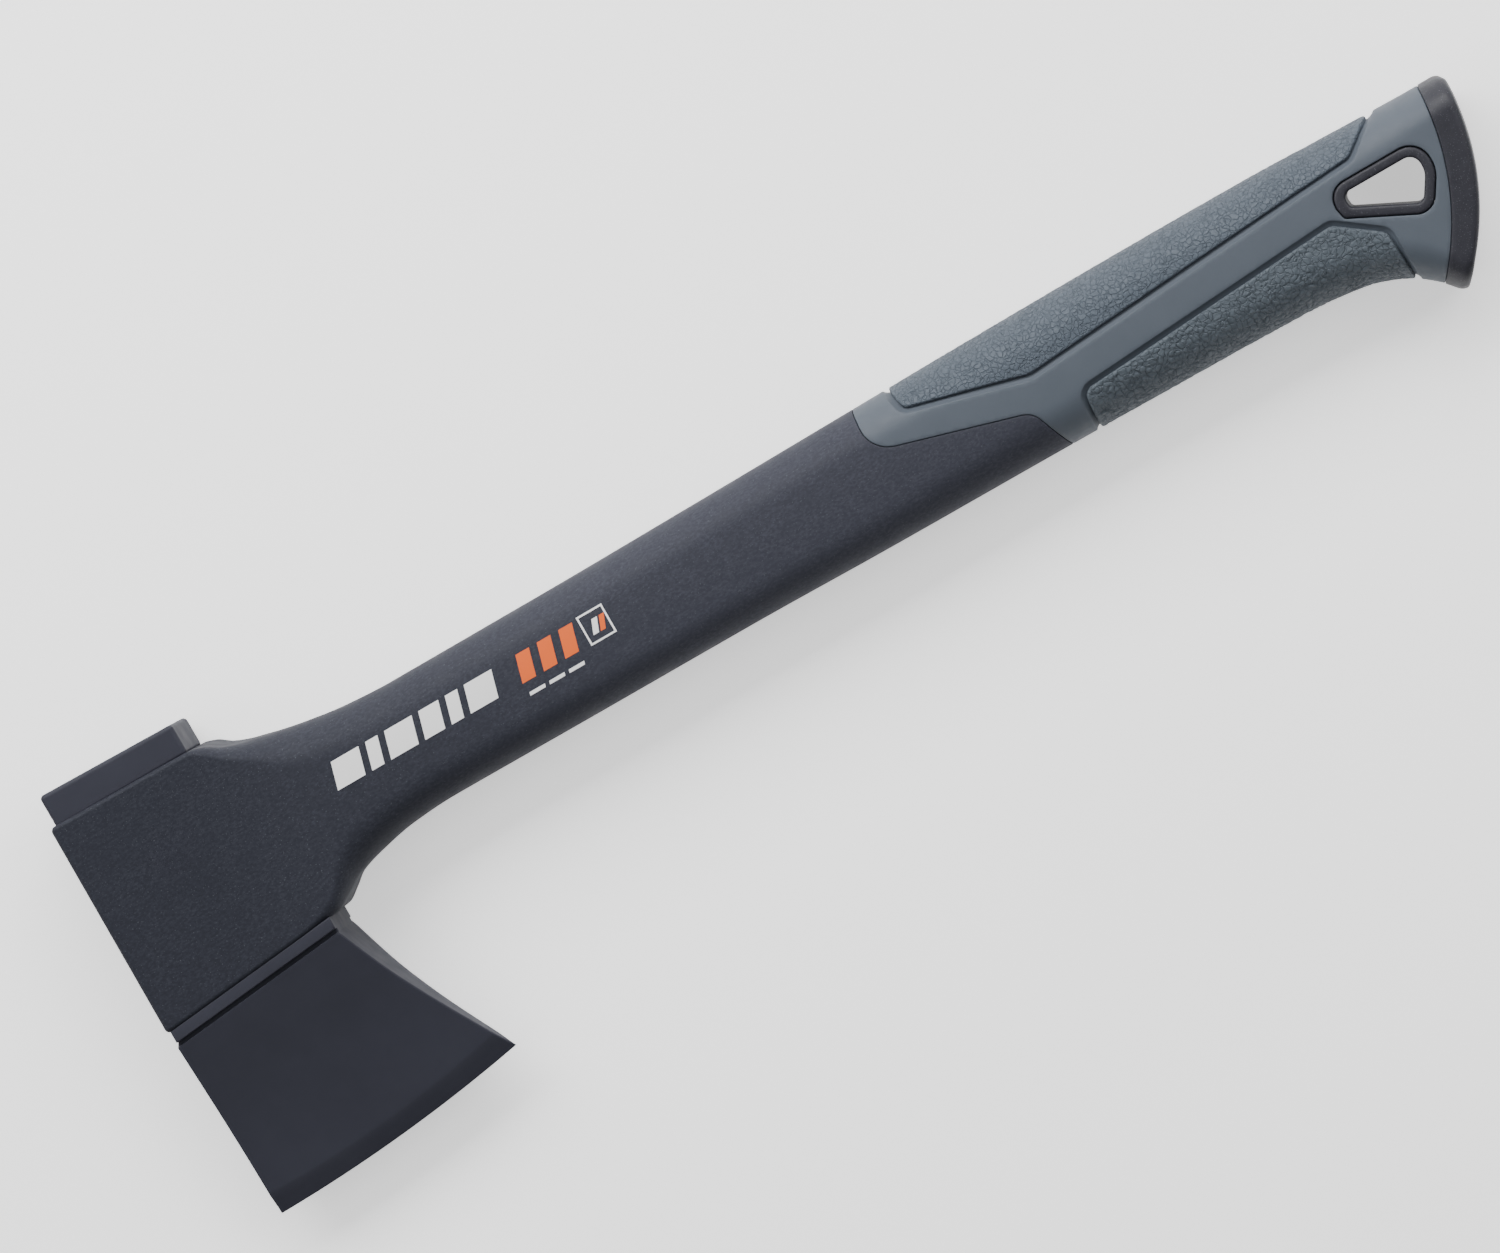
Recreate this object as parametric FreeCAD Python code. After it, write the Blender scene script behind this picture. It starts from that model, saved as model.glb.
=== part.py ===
"""Short universal axe: a forged steel head moulded into a hollow glass-fibre nylon handle.

The pieces are drawn in the handle's own frame: x runs from the front of the head to the butt,
y runs from the cutting edge up to the poll with zero on the handle's axis, and z is the
thickness with zero on the mid-plane. Each piece is then moved so that the axe lies on its
side, with z = 0 on the surface that it rests on and the origin under the middle of its box.
All sizes are in millimetres.
"""
import FreeCAD
import Part
import math
import os

# ---- Driving dimensions -------------------------------------------------------------------
OVERALL_LENGTH = 444.4        # front of the head to the back of the butt cap
OVERALL_THICKNESS = 31.0      # jacket and butt cap, which the axe lies on
HALF_THICKNESS = OVERALL_THICKNESS / 2
POLL_TOP = 40.0               # front of the poll face above the handle's axis
TOE_LOW = -97.0               # toe of the cutting edge below the handle's axis

# Head
HEAD_TILT = 5.8               # degrees that the blade's shoulder and edge rise towards the heel
SHOULDER_Y = -36.2            # underside of the jacket at x = 0
BAND_HEIGHT = 3.4             # steel band between the jacket and the groove
GROOVE_WIDTH = 1.2
GROOVE_DEPTH = 1.2
BAND_HALF = 14.6
BLADE_HALF = 14.0             # half thickness at the blade's shoulder
BAND_FRONT = 1.8
BAND_REAR = 57.8
BAND_FILLET = 0.6
GROOVE_END = 0.3              # the groove stops this far inside the band's ends
BLADE_FRONT = 1.2
POLL_REAR_TOP = 39.1          # the poll face slopes down a little towards the handle
POLL_FRONT = 2.7
POLL_REAR = 46.0
POLL_HALF = 12.7
POLL_SEAM = 30.4              # underside of the poll, on top of the jacket
POLL_FILLET = 1.2
EDGE_RADIUS = 490.0           # cutting edge seen from the side
EDGE_HALF = 0.15              # half of the land left on the cutting edge
BEVEL_ANGLE = 24.0            # degrees between the ground bevel and the mid-plane
BEVEL_REACH = 30.0            # the bevels' cones are drawn this far in from the edge
TOE = (0.3, -96.6)
HEEL = (83.0, -88.1)
WEB_FRONT = 5.0               # forged web inside the jacket
WEB_REAR = 46.0
WEB_HALF = 7.8
WEB_FILLET = 3.0
OVERLAP = 0.5                 # how far parts of the forging run into one another
LOCK_HOLE_RADIUS = 7.5        # holes in the web that the moulding flows through
LOCK_HOLES = ((16.5, 13.0), (34.5, 13.0), (16.5, -14.0), (34.5, -14.0))
# Hollow-ground wedge: distance below the blade's shoulder, and half thickness there
WEDGE = ((0.0, 14.0), (11.5, 10.9), (25.0, 7.4), (38.0, 4.7), (60.0, 1.4))
# Curved rear of the blade, from inside the band to just past the heel
BLADE_REAR = ((57.8, -31.9), (63.9, -51.0), (70.0, -64.2), (83.0, -88.1), (86.4, -94.6))

# Handle
JACKET_FRONT = 0.9
JACKET_FRONT_TOP = 30.7
JACKET_REAR = 46.0            # the square block ends here and stands a hair proud of the neck
JACKET_REAR_TOP = 30.1
JACKET_FILLET = 1.5
HOLLOW_START = 84.0           # the hollow begins behind the neck
HOLLOW_INSET = 5.6            # outer skin to hollow
GRIP_LAYER = 2.4              # overmoulded grip over the shaft
PAD_DEPTH = 1.5               # textured pads in the grip frame
GROOVE_ROUND_PAD = 1.3
CAP_SPIGOT = 4.0              # how far the butt cap plugs into the hollow
SPIGOT_CLEARANCE = 0.1
EYELET_WALL = 3.0
EYELET_HALF = 13.6            # half length of the hang hole's sleeve
EYELET_FILLET = 0.8
CAP_PROUD = 0.2

REACH = 60.0                  # long enough to cut right through the axe
CLEAR = 130.0                 # well clear of the axe, above and below its axis

# Cross-sections of the handle from the back of the square jacket to past the butt:
# top point, bottom point, half thickness, top corner radius, bottom corner radius
HANDLE_SECTIONS = (
    ((44.0, 30.06), (44.0, -31.66), 15.44, 1.5, 1.5),
    ((46.0, 30.04), (46.0, -31.47), 15.44, 1.5, 1.5),
    ((50.5, 29.0), (50.5, -31.07), 15.5, 3.0, 1.6),
    ((55.0, 26.2), (55.0, -30.6), 15.4, 4.6, 1.8),
    ((60.5, 24.4), (60.5, -30.0), 15.1, 6.4, 2.2),
    ((65.2, 23.3), (65.2, -27.1), 14.7, 7.6, 5.0),
    ((70.0, 22.2), (70.0, -24.0), 14.3, 8.4, 7.5),
    ((78.0, 20.7), (78.0, -21.6), 13.8, 9.2, 9.2),
    ((90.0, 19.1), (90.0, -19.3), 13.3, 9.8, 9.8),
    ((104.0, 18.4), (104.0, -18.4), 13.0, 10.0, 10.0),
    ((150.0, 18.4), (150.0, -18.6), 13.0, 10.0, 10.0),
    ((200.0, 18.8), (200.0, -18.7), 13.0, 10.0, 10.0),
    ((250.0, 19.4), (250.0, -19.4), 13.1, 10.0, 10.0),
    ((300.0, 20.0), (300.0, -19.7), 13.3, 10.2, 10.2),
    ((345.0, 20.2), (345.0, -20.2), 13.4, 10.2, 10.2),
    ((384.0, 20.0), (380.0, -20.9), 13.6, 10.2, 10.2),
    ((407.0, 19.3), (397.0, -22.6), 14.0, 10.2, 10.2),
    ((424.0, 18.8), (408.0, -26.5), 14.6, 10.2, 9.6),
    ((436.8, 18.6), (415.6, -32.0), 15.1, 10.0, 9.0),
    ((450.0, 18.6), (423.0, -41.0), 15.25, 9.6, 8.5),
    ((464.0, 18.6), (430.5, -50.0), 15.28, 9.6, 8.5),
)
STEPS_PER_SPAN = 2            # in-between cross-sections that make the spans curved
GRIP_FIRST_X = 225.0          # the grip layers are lofted from here on
SMALLEST_RADIUS = 1.0

# Outlines seen from the side, as (x, y, corner radius)
GRIP_START = ((256.0, 40.0, 0), (256.0, 6.6, 8.0), (300.2, -6.4, 6.0), (307.5, -24.0, 0),
              (307.5, -60.0, 0), (200.0, -60.0, 0), (200.0, 40.0, 0))
BACK_PAD = ((267.4, 40.0, 0), (267.4, 20.0, 3.0), (269.8, 12.8, 2.0), (304.8, 3.3, 3.0),
            (411.2, 11.1, 3.0), (422.3, 20.0, 2.0), (422.3, 40.0, 0))
BELLY_PAD = ((312.4, -50.0, 0), (312.4, -19.0, 3.0), (315.4, -8.4, 3.0), (397.6, -2.8, 3.0),
             (409.6, -11.2, 3.0), (409.6, -50.0, 0))
HANG_HOLE = ((404.4, 3.0, 2.2), (427.2, 3.0, 3.4), (427.1, -3.0, 6.0), (422.5, -10.2, 2.2),
             (404.6, -1.25, 1.4))

# Arcs of the butt, each through three points: the seam in front of the cap and the cap's back
CAP_SEAM_ARC = ((436.8, 18.8), (432.7, -5.0), (416.4, -32.6))
CAP_BACK_ARC = ((444.3, 17.3), (439.7, -8.9), (420.6, -37.5))
CAP_TOP_CORNER = (443.0, 18.8)
CAP_TIP = (419.0, -36.9)      # front of the cap's hooked tip


# ---- Drawing helpers ----------------------------------------------------------------------
def vec(x, y, z=0.0):
    return FreeCAD.Vector(x, y, z)


def shoulder_at(x):
    """Height of the jacket's sloping underside."""
    return SHOULDER_Y + x * math.tan(math.radians(HEAD_TILT))


def rounded_wire(outline, z=0.0):
    """Closed wire of straight runs, with each corner that has a radius turned into an arc."""
    count = len(outline)
    starts = []
    ends = []
    middles = []
    for i, (x, y, radius) in enumerate(outline):
        corner = vec(x, y, z)
        to_last = (vec(outline[i - 1][0], outline[i - 1][1], z) - corner).normalize()
        to_next = (vec(outline[(i + 1) % count][0], outline[(i + 1) % count][1], z) - corner).normalize()
        if radius:
            half_angle = to_last.getAngle(to_next) / 2
            inward = (to_last + to_next).normalize()
            tangent = radius / math.tan(half_angle)
            starts.append(corner + to_last * tangent)
            ends.append(corner + to_next * tangent)
            middles.append(corner + inward * (radius / math.sin(half_angle) - radius))
        else:
            starts.append(corner)
            ends.append(corner)
            middles.append(None)
    edges = []
    for i in range(count):
        if middles[i] is not None:
            edges.append(Part.Arc(starts[i], middles[i], ends[i]).toShape())
        edges.append(Part.LineSegment(ends[i], starts[(i + 1) % count]).toShape())
    return Part.Wire(edges)


def prism(outline, half=REACH):
    """Block with the given side outline, reaching the same distance either side of the mid-plane."""
    return Part.Face(rounded_wire(outline, -half)).extrude(vec(0, 0, 2 * half))


def curved(values, places, span, share):
    """Value part of the way along a span, on a smooth curve that never overshoots its points."""

    def slope(i):
        return (values[i + 1] - values[i]) / (places[i + 1] - places[i])

    def tangent(i):
        if i == 0 or i == len(values) - 1:
            return slope(min(i, len(values) - 2))
        before, after = slope(i - 1), slope(i)
        return 0.0 if before * after <= 0 else 2 * before * after / (before + after)

    width = places[span + 1] - places[span]
    start, end = values[span], values[span + 1]
    rise = end - start
    lead = tangent(span) * width
    trail = tangent(span + 1) * width
    cubic = lead + trail - 2 * rise
    square = 3 * rise - 2 * lead - trail
    return start + share * (lead + share * (square + share * cubic))


def all_sections():
    """The handle's cross-sections with the in-between ones, each as seven plain numbers."""
    rows = [(*top, *bottom, half, top_round, low_round)
            for top, bottom, half, top_round, low_round in HANDLE_SECTIONS]
    places = [(row[0] + row[2]) / 2 for row in rows]
    columns = list(zip(*rows))
    sections = []
    for span in range(len(rows) - 1):
        for step in range(STEPS_PER_SPAN):
            sections.append([curved(column, places, span, step / STEPS_PER_SPAN) for column in columns])
    sections.append(list(rows[-1]))
    return sections


def section_wire(section, inset):
    """One cross-section of the handle: a rectangle with round corners, shrunk by the inset."""
    top_x, top_y, bottom_x, bottom_y, half, top_radius, bottom_radius = section
    top = vec(top_x, top_y)
    bottom = vec(bottom_x, bottom_y)
    up = (top - bottom).normalize()
    wide = half - inset
    top_round = max(top_radius - inset, SMALLEST_RADIUS)
    low_round = max(bottom_radius - inset, SMALLEST_RADIUS)
    corners = ((top - up * inset, 1, -1, top_round), (top - up * inset, 1, 1, top_round),
               (bottom + up * inset, -1, 1, low_round), (bottom + up * inset, -1, -1, low_round))
    bulge = 1 - math.sqrt(0.5)
    runs = []
    for base, vertical, sideways, radius in corners:
        square = base + vec(0, 0, sideways * wide)
        on_flat = square - vec(0, 0, sideways * radius)
        on_side = square - up * (vertical * radius)
        middle = square - vec(0, 0, sideways * radius * bulge) - up * (vertical * radius * bulge)
        from_side = vertical * sideways < 0
        runs.append((on_side, middle, on_flat) if from_side else (on_flat, middle, on_side))
    edges = []
    for i, run in enumerate(runs):
        edges.append(Part.Arc(*run).toShape())
        edges.append(Part.LineSegment(run[2], runs[(i + 1) % len(runs)][0]).toShape())
    return Part.Wire(edges)


def skin(inset=0.0, first_x=0.0):
    """The handle's outer shape, shrunk all round by the inset, from a place along it to past the butt."""
    chosen = [section for section in all_sections() if section[0] >= first_x]
    return Part.makeLoft([section_wire(section, inset) for section in chosen], True, True)


def box(x0, x1, y0, y1, half):
    return Part.makeBox(x1 - x0, y1 - y0, 2 * half, vec(x0, y0, -half))


def arc_through(points, z):
    return Part.Arc(*[vec(x, y, z) for x, y in points]).toShape()


def run_of_lines(points):
    """Straight edges from point to point, in the plane that outlines are drawn in."""
    corners = [vec(x, y, -REACH) for x, y in points]
    return [Part.LineSegment(a, b).toShape() for a, b in zip(corners, corners[1:])]


def curve_through(points):
    curve = Part.BSplineCurve()
    curve.interpolate(points)
    return curve.toShape()


def block_of(edges, direction):
    """Solid swept from the closed outline that the edges make."""
    return Part.Face(Part.Wire(Part.__sortEdges__(edges))).extrude(direction)


# ---- Shared shapes of the handle ----------------------------------------------------------
def grip_region():
    """Everything behind the sloping line where the overmoulded grip starts."""
    whole = box(GRIP_FIRST_X, OVERALL_LENGTH + CLEAR, -CLEAR, CLEAR, REACH)
    return whole.cut(prism(GRIP_START))


def in_front_of_cap():
    """Everything in front of the arc where the butt cap starts."""
    arc = arc_through(CAP_SEAM_ARC, -REACH)
    top, bottom = CAP_SEAM_ARC[0], CAP_SEAM_ARC[2]
    around = (bottom, (bottom[0], -CLEAR), (-CLEAR, -CLEAR), (-CLEAR, CLEAR), (top[0], CLEAR), top)
    edges = [arc] + run_of_lines(around)
    return block_of(edges, vec(0, 0, 2 * REACH))


def offset_outline(outline, distance):
    """The same outline, each side moved outwards; the outlines run clockwise or not."""
    area = sum(a[0] * b[1] - b[0] * a[1] for a, b in zip(outline, outline[1:] + outline[:1]))
    turn = 1 if area > 0 else -1
    count = len(outline)
    moved = []
    for i, (x, y, radius) in enumerate(outline):
        before = outline[i - 1]
        after = outline[(i + 1) % count]
        d1 = vec(x - before[0], y - before[1]).normalize()
        d2 = vec(after[0] - x, after[1] - y).normalize()
        n1 = vec(d1.y, -d1.x) * turn
        n2 = vec(d2.y, -d2.x) * turn
        miter = (n1 + n2) * (distance / (1 + n1.dot(n2)))
        moved.append((x + miter.x, y + miter.y, radius + distance if radius else 0))
    return tuple(moved)


# ---- Pieces -------------------------------------------------------------------------------
def slab(top, height, half, x0, x1):
    """Sloping bar under the shoulder line, starting the given distance below it."""
    y0 = shoulder_at(x0) - top
    y1 = shoulder_at(x1) - top
    return prism(((x0, y0, 0), (x1, y1, 0), (x1, y1 - height, 0), (x0, y0 - height, 0)), half)


def make_wedge(depth):
    """Hollow-ground wedge, drawn across the blade and run along its shoulder."""
    tilt = math.radians(HEAD_TILT)
    along = vec(math.cos(tilt), math.sin(tilt))
    up = vec(-math.sin(tilt), math.cos(tilt))
    margin = 20.0
    start = vec(0, SHOULDER_Y) - along * margin - up * (depth * math.cos(tilt))
    near = [start - up * drop + vec(0, 0, half) for drop, half in WEDGE]
    far = [start - up * drop - vec(0, 0, half) for drop, half in WEDGE]
    edges = [curve_through(near), curve_through(far), Part.LineSegment(far[0], near[0]).toShape(),
             Part.LineSegment(near[-1], far[-1]).toShape()]
    return block_of(edges, along * (HEEL[0] + 3 * margin))


def make_blade_outline(top):
    """Side outline of the blade, reaching past the bevels' arc at the cutting edge."""
    past_heel = BLADE_REAR[-1]
    below_toe = (TOE[0], TOE[1] - 12.0)
    edges = [curve_through([vec(x, y, -REACH) for x, y in BLADE_REAR])]
    edges += run_of_lines((past_heel, below_toe, TOE, (BLADE_FRONT, top), BLADE_REAR[0]))
    return block_of(edges, vec(0, 0, 2 * REACH))


def make_bevels():
    """Disc with an edge ground on both sides, about the centre of the cutting edge's arc."""
    chord = vec(HEEL[0] - TOE[0], HEEL[1] - TOE[1])
    to_centre = vec(-chord.y, chord.x).normalize()
    middle = vec((TOE[0] + HEEL[0]) / 2, (TOE[1] + HEEL[1]) / 2)
    centre = middle + to_centre * math.sqrt(EDGE_RADIUS ** 2 - (chord.Length / 2) ** 2)
    rise = EDGE_HALF + BEVEL_REACH * math.tan(math.radians(BEVEL_ANGLE))
    inner = EDGE_RADIUS - 4 * BEVEL_REACH
    ring = ((inner, -rise), (EDGE_RADIUS - BEVEL_REACH, -rise), (EDGE_RADIUS, -EDGE_HALF),
            (EDGE_RADIUS, EDGE_HALF), (EDGE_RADIUS - BEVEL_REACH, rise), (inner, rise))
    corners = [centre - to_centre * radius + vec(0, 0, z) for radius, z in ring]
    swing = 10.0
    axis = vec(0, 0, 1)
    disc = Part.Face(Part.makePolygon(corners + corners[:1])).revolve(centre, axis, 2 * swing)
    disc.rotate(centre, axis, -swing)
    return disc


def make_axe_head():
    """Forged head: wedge blade, grooved band, web with lock holes inside the jacket, and poll."""
    depth = BAND_HEIGHT + GROOVE_WIDTH
    band = slab(0, BAND_HEIGHT, BAND_HALF, BAND_FRONT, BAND_REAR)
    upright = [edge for edge in band.Edges if edge.BoundBox.ZLength < 0.01]
    band = band.makeFillet(BAND_FILLET, upright)
    groove_core = slab(BAND_HEIGHT - OVERLAP, GROOVE_WIDTH + 2 * OVERLAP, BLADE_HALF - GROOVE_DEPTH,
                       BAND_FRONT + GROOVE_END, BAND_REAR - GROOVE_END)
    above_shoulder = 3.0
    blade_top = shoulder_at(BLADE_FRONT) - depth + above_shoulder
    blade = make_wedge(depth).common(make_blade_outline(blade_top)).common(make_bevels())

    web = box(WEB_FRONT, WEB_REAR, shoulder_at(WEB_FRONT) - OVERLAP, POLL_SEAM + OVERLAP, WEB_HALF)
    web = web.makeFillet(WEB_FILLET, [edge for edge in web.Edges if edge.BoundBox.YLength > WEB_REAR])
    poll = prism(((POLL_FRONT, POLL_SEAM, 0), (POLL_REAR, POLL_SEAM, 0), (POLL_REAR, POLL_REAR_TOP, 0),
                  (POLL_FRONT, POLL_TOP, 0)), POLL_HALF)
    above_seam = [edge for edge in poll.Edges if edge.BoundBox.YMax > POLL_SEAM + OVERLAP]
    poll = poll.makeFillet(POLL_FILLET, above_seam)
    head = blade.fuse([groove_core, band, web, poll])
    for x, y in LOCK_HOLES:
        head = head.cut(Part.makeCylinder(LOCK_HOLE_RADIUS, 2 * REACH, vec(x, y, -REACH), vec(0, 0, 1)))
    return head.removeSplitter()


def make_grip_layer():
    """The whole overmoulded layer, before its pockets are cut."""
    layer = skin(0.0, GRIP_FIRST_X).cut(skin(GRIP_LAYER, GRIP_FIRST_X))
    return layer.common(grip_region()).common(in_front_of_cap())


def make_hollow():
    """The hollow inside the handle, from behind the neck to the butt."""
    return skin(HOLLOW_INSET, HOLLOW_START)


def make_handle_shaft(head, layer, eyelet_outline):
    """Jacket round the head, neck, shaft and the reduced core under the grip, hollow from the neck on."""
    front_low = shoulder_at(JACKET_FRONT)
    rear_low = shoulder_at(JACKET_REAR)
    jacket = prism(((JACKET_FRONT, JACKET_FRONT_TOP, 0), (JACKET_REAR, JACKET_REAR_TOP, 0),
                    (JACKET_REAR, rear_low, 0), (JACKET_FRONT, front_low, 0)), HALF_THICKNESS)
    lengthwise = [edge for edge in jacket.Edges if edge.BoundBox.XLength > OVERALL_THICKNESS]
    at_front = [edge for edge in jacket.Edges if edge.BoundBox.XMax < JACKET_FRONT + JACKET_FILLET]
    jacket = jacket.makeFillet(JACKET_FILLET, lengthwise + at_front)
    shaft = jacket.fuse(skin()).common(in_front_of_cap())
    for taken in (layer, make_hollow(), head, prism(eyelet_outline)):
        shaft = shaft.cut(taken)
    return shaft.removeSplitter()


def make_grip_frame(layer, pads, eyelet_outline):
    """Smooth overmoulded layer with a pocket round each textured pad."""
    floor = skin(PAD_DEPTH, GRIP_FIRST_X)
    frame = layer
    for outline in pads:
        frame = frame.cut(prism(offset_outline(outline, GROOVE_ROUND_PAD)).cut(floor))
    return frame.cut(prism(eyelet_outline)).removeSplitter()


def make_pad(outline):
    """Textured pad that wraps over one edge of the grip from side to side."""
    layer = skin(0.0, GRIP_FIRST_X).cut(skin(PAD_DEPTH, GRIP_FIRST_X))
    return layer.common(prism(outline)).removeSplitter()


def make_eyelet(eyelet_outline):
    """Sleeve of the hang hole, open right through from side to side."""
    sleeve = prism(eyelet_outline, EYELET_HALF).cut(prism(HANG_HOLE))
    rim = [edge for edge in sleeve.Edges if edge.BoundBox.ZLength < 0.01]
    return sleeve.makeFillet(EYELET_FILLET, rim)


def make_butt_cap():
    """Hooked end cap, a little proud of the grip, with a spigot in the hollow of the shaft."""
    front_region = in_front_of_cap()
    around = (CAP_BACK_ARC[2], CAP_TIP, (CAP_TIP[0], -CLEAR), (0, -CLEAR), (0, CLEAR),
              (CAP_TOP_CORNER[0], CLEAR), CAP_TOP_CORNER, CAP_BACK_ARC[0])
    edges = [arc_through(CAP_BACK_ARC, -REACH)] + run_of_lines(around)
    in_front_of_back = block_of(edges, vec(0, 0, 2 * REACH))
    cap = skin(-CAP_PROUD, GRIP_FIRST_X).common(in_front_of_back).cut(front_region)
    forward = front_region.copy()
    forward.translate(vec(-CAP_SPIGOT, 0, 0))
    spigot = skin(HOLLOW_INSET + SPIGOT_CLEARANCE, GRIP_FIRST_X).common(front_region).cut(forward)
    return cap.fuse(spigot).removeSplitter()


# ---- Assembly -----------------------------------------------------------------------------
def build():
    eyelet_outline = offset_outline(HANG_HOLE, EYELET_WALL)
    head = make_axe_head()
    layer = make_grip_layer()
    pieces = {
        "axe_head": head,
        "handle_shaft": make_handle_shaft(head, layer, eyelet_outline),
        "grip_frame": make_grip_frame(layer, (BACK_PAD, BELLY_PAD), eyelet_outline),
        "grip_pad_back": make_pad(BACK_PAD),
        "grip_pad_belly": make_pad(BELLY_PAD),
        "hang_hole_eyelet": make_eyelet(eyelet_outline),
        "butt_cap": make_butt_cap(),
    }
    move = vec(-OVERALL_LENGTH / 2, -(POLL_TOP + TOE_LOW) / 2, HALF_THICKNESS)
    os.makedirs("parts", exist_ok=True)
    for name, shape in pieces.items():
        shape.translate(move)
        shape.exportStep("parts/" + name + ".step")
        print(name, "valid", shape.isValid(), "cm3", round(shape.Volume / 1000, 2))


build()
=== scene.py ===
"""Looks of a short universal axe: coated steel head in a fibre-reinforced handle with a soft grip.

Shapes are drawn in millimetres in the handle's own frame: x from the front of the head to the
butt, y up from the cutting edge to the poll with zero on the handle's axis, and z across the
axe with zero on its mid-plane. They are then moved into the model's frame, in metres.
The two sides of the axe are alike, so each piece is made on the near side and mirrored.
"""
import bmesh
import bpy
import math
import numpy as np
from mathutils import Matrix, Vector, kdtree, noise
from mathutils.geometry import delaunay_2d_cdt


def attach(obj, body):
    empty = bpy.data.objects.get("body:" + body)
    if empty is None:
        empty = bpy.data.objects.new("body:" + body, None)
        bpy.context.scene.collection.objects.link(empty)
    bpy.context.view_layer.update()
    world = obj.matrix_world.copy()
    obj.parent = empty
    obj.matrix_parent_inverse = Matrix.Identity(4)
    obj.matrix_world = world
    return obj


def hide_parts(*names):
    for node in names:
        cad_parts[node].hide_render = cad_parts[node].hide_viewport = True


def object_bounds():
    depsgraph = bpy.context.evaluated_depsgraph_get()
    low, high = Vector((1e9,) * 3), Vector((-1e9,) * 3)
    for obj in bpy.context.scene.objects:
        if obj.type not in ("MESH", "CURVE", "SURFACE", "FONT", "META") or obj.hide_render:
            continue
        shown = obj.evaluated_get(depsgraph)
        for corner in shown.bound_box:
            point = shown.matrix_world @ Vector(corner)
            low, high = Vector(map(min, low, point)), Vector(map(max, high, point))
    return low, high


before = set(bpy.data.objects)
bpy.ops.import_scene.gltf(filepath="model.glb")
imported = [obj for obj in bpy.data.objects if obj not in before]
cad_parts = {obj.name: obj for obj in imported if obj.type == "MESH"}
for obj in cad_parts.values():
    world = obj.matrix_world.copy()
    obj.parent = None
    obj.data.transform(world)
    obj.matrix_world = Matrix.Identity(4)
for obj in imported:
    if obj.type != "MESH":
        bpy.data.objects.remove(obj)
CAD_LOW, CAD_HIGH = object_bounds()
MM = 0.001

# ---- Driving dimensions, millimetres
TOE_X = 0.3                   # foremost point of the axe
POLL_TOP = 40.0               # highest point of the axe
ORIGIN = np.array([CAD_LOW.x / MM - TOE_X, CAD_HIGH.y / MM - POLL_TOP, (CAD_LOW.z + CAD_HIGH.z) / 2 / MM])

HEAD_TILT = math.radians(5.8)
SHOULDER_Y = -36.2            # underside of the jacket at x = 0

# Cross-sections of the handle: top x, top y, low x, low y, half thickness,
# top corner's height and width, low corner's height and width, crown of the side
SECTIONS = np.array([
    (1.3, 30.7, 0.8, -36.10, 15.5, 1.3, 1.3, 1.5, 1.5, 0.0),
    (24.0, 30.4, 24.0, -33.76, 15.5, 1.3, 1.3, 1.5, 1.5, 0.0),
    (46.0, 30.1, 46.0, -31.53, 15.5, 1.4, 1.4, 1.5, 1.5, 0.0),
    (50.5, 29.0, 50.5, -31.07, 15.5, 2.9, 3.6, 1.7, 1.7, 0.0),
    (55.0, 26.3, 55.0, -30.60, 15.4, 4.0, 6.0, 2.4, 2.6, 0.0),
    (60.5, 24.4, 60.5, -29.90, 15.1, 5.6, 8.5, 4.4, 4.6, 0.2),
    (65.2, 23.3, 65.2, -27.20, 14.7, 8.0, 10.2, 6.8, 7.4, 0.4),
    (70.0, 22.2, 70.0, -24.00, 14.3, 10.2, 11.6, 9.0, 10.0, 0.7),
    (78.0, 20.7, 78.0, -21.60, 13.8, 10.8, 12.2, 10.2, 12.0, 1.1),
    (90.0, 19.1, 90.0, -19.30, 13.3, 10.8, 12.2, 10.2, 12.0, 1.4),
    (104.0, 18.4, 104.0, -18.40, 13.0, 10.6, 12.0, 10.0, 11.8, 1.6),
    (150.0, 18.4, 150.0, -18.60, 13.0, 10.4, 12.0, 9.8, 11.8, 1.7),
    (200.0, 18.8, 200.0, -18.70, 13.0, 10.4, 12.0, 9.8, 11.8, 1.7),
    (250.0, 19.4, 250.0, -19.40, 13.1, 11.2, 12.4, 10.8, 12.2, 1.7),
    (300.0, 20.0, 300.0, -19.70, 13.3, 13.2, 13.3, 12.8, 13.3, 1.6),
    (345.0, 20.2, 345.0, -20.20, 13.4, 12.4, 13.4, 12.4, 13.4, 1.5),
    (384.0, 20.0, 380.0, -20.90, 13.6, 12.4, 13.6, 12.4, 13.6, 1.3),
    (407.0, 19.3, 397.0, -22.60, 14.0, 12.2, 14.0, 12.2, 14.0, 1.1),
    (424.0, 18.8, 408.0, -26.50, 14.6, 12.0, 14.0, 11.8, 14.0, 0.8),
    (436.8, 18.6, 415.6, -32.00, 15.1, 11.4, 13.6, 11.0, 13.6, 0.5),
    (450.0, 18.6, 423.0, -41.00, 15.25, 11.0, 13.4, 10.4, 13.4, 0.3),
    (464.0, 18.6, 430.5, -50.00, 15.28, 11.0, 13.4, 10.4, 13.4, 0.2),
])

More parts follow.
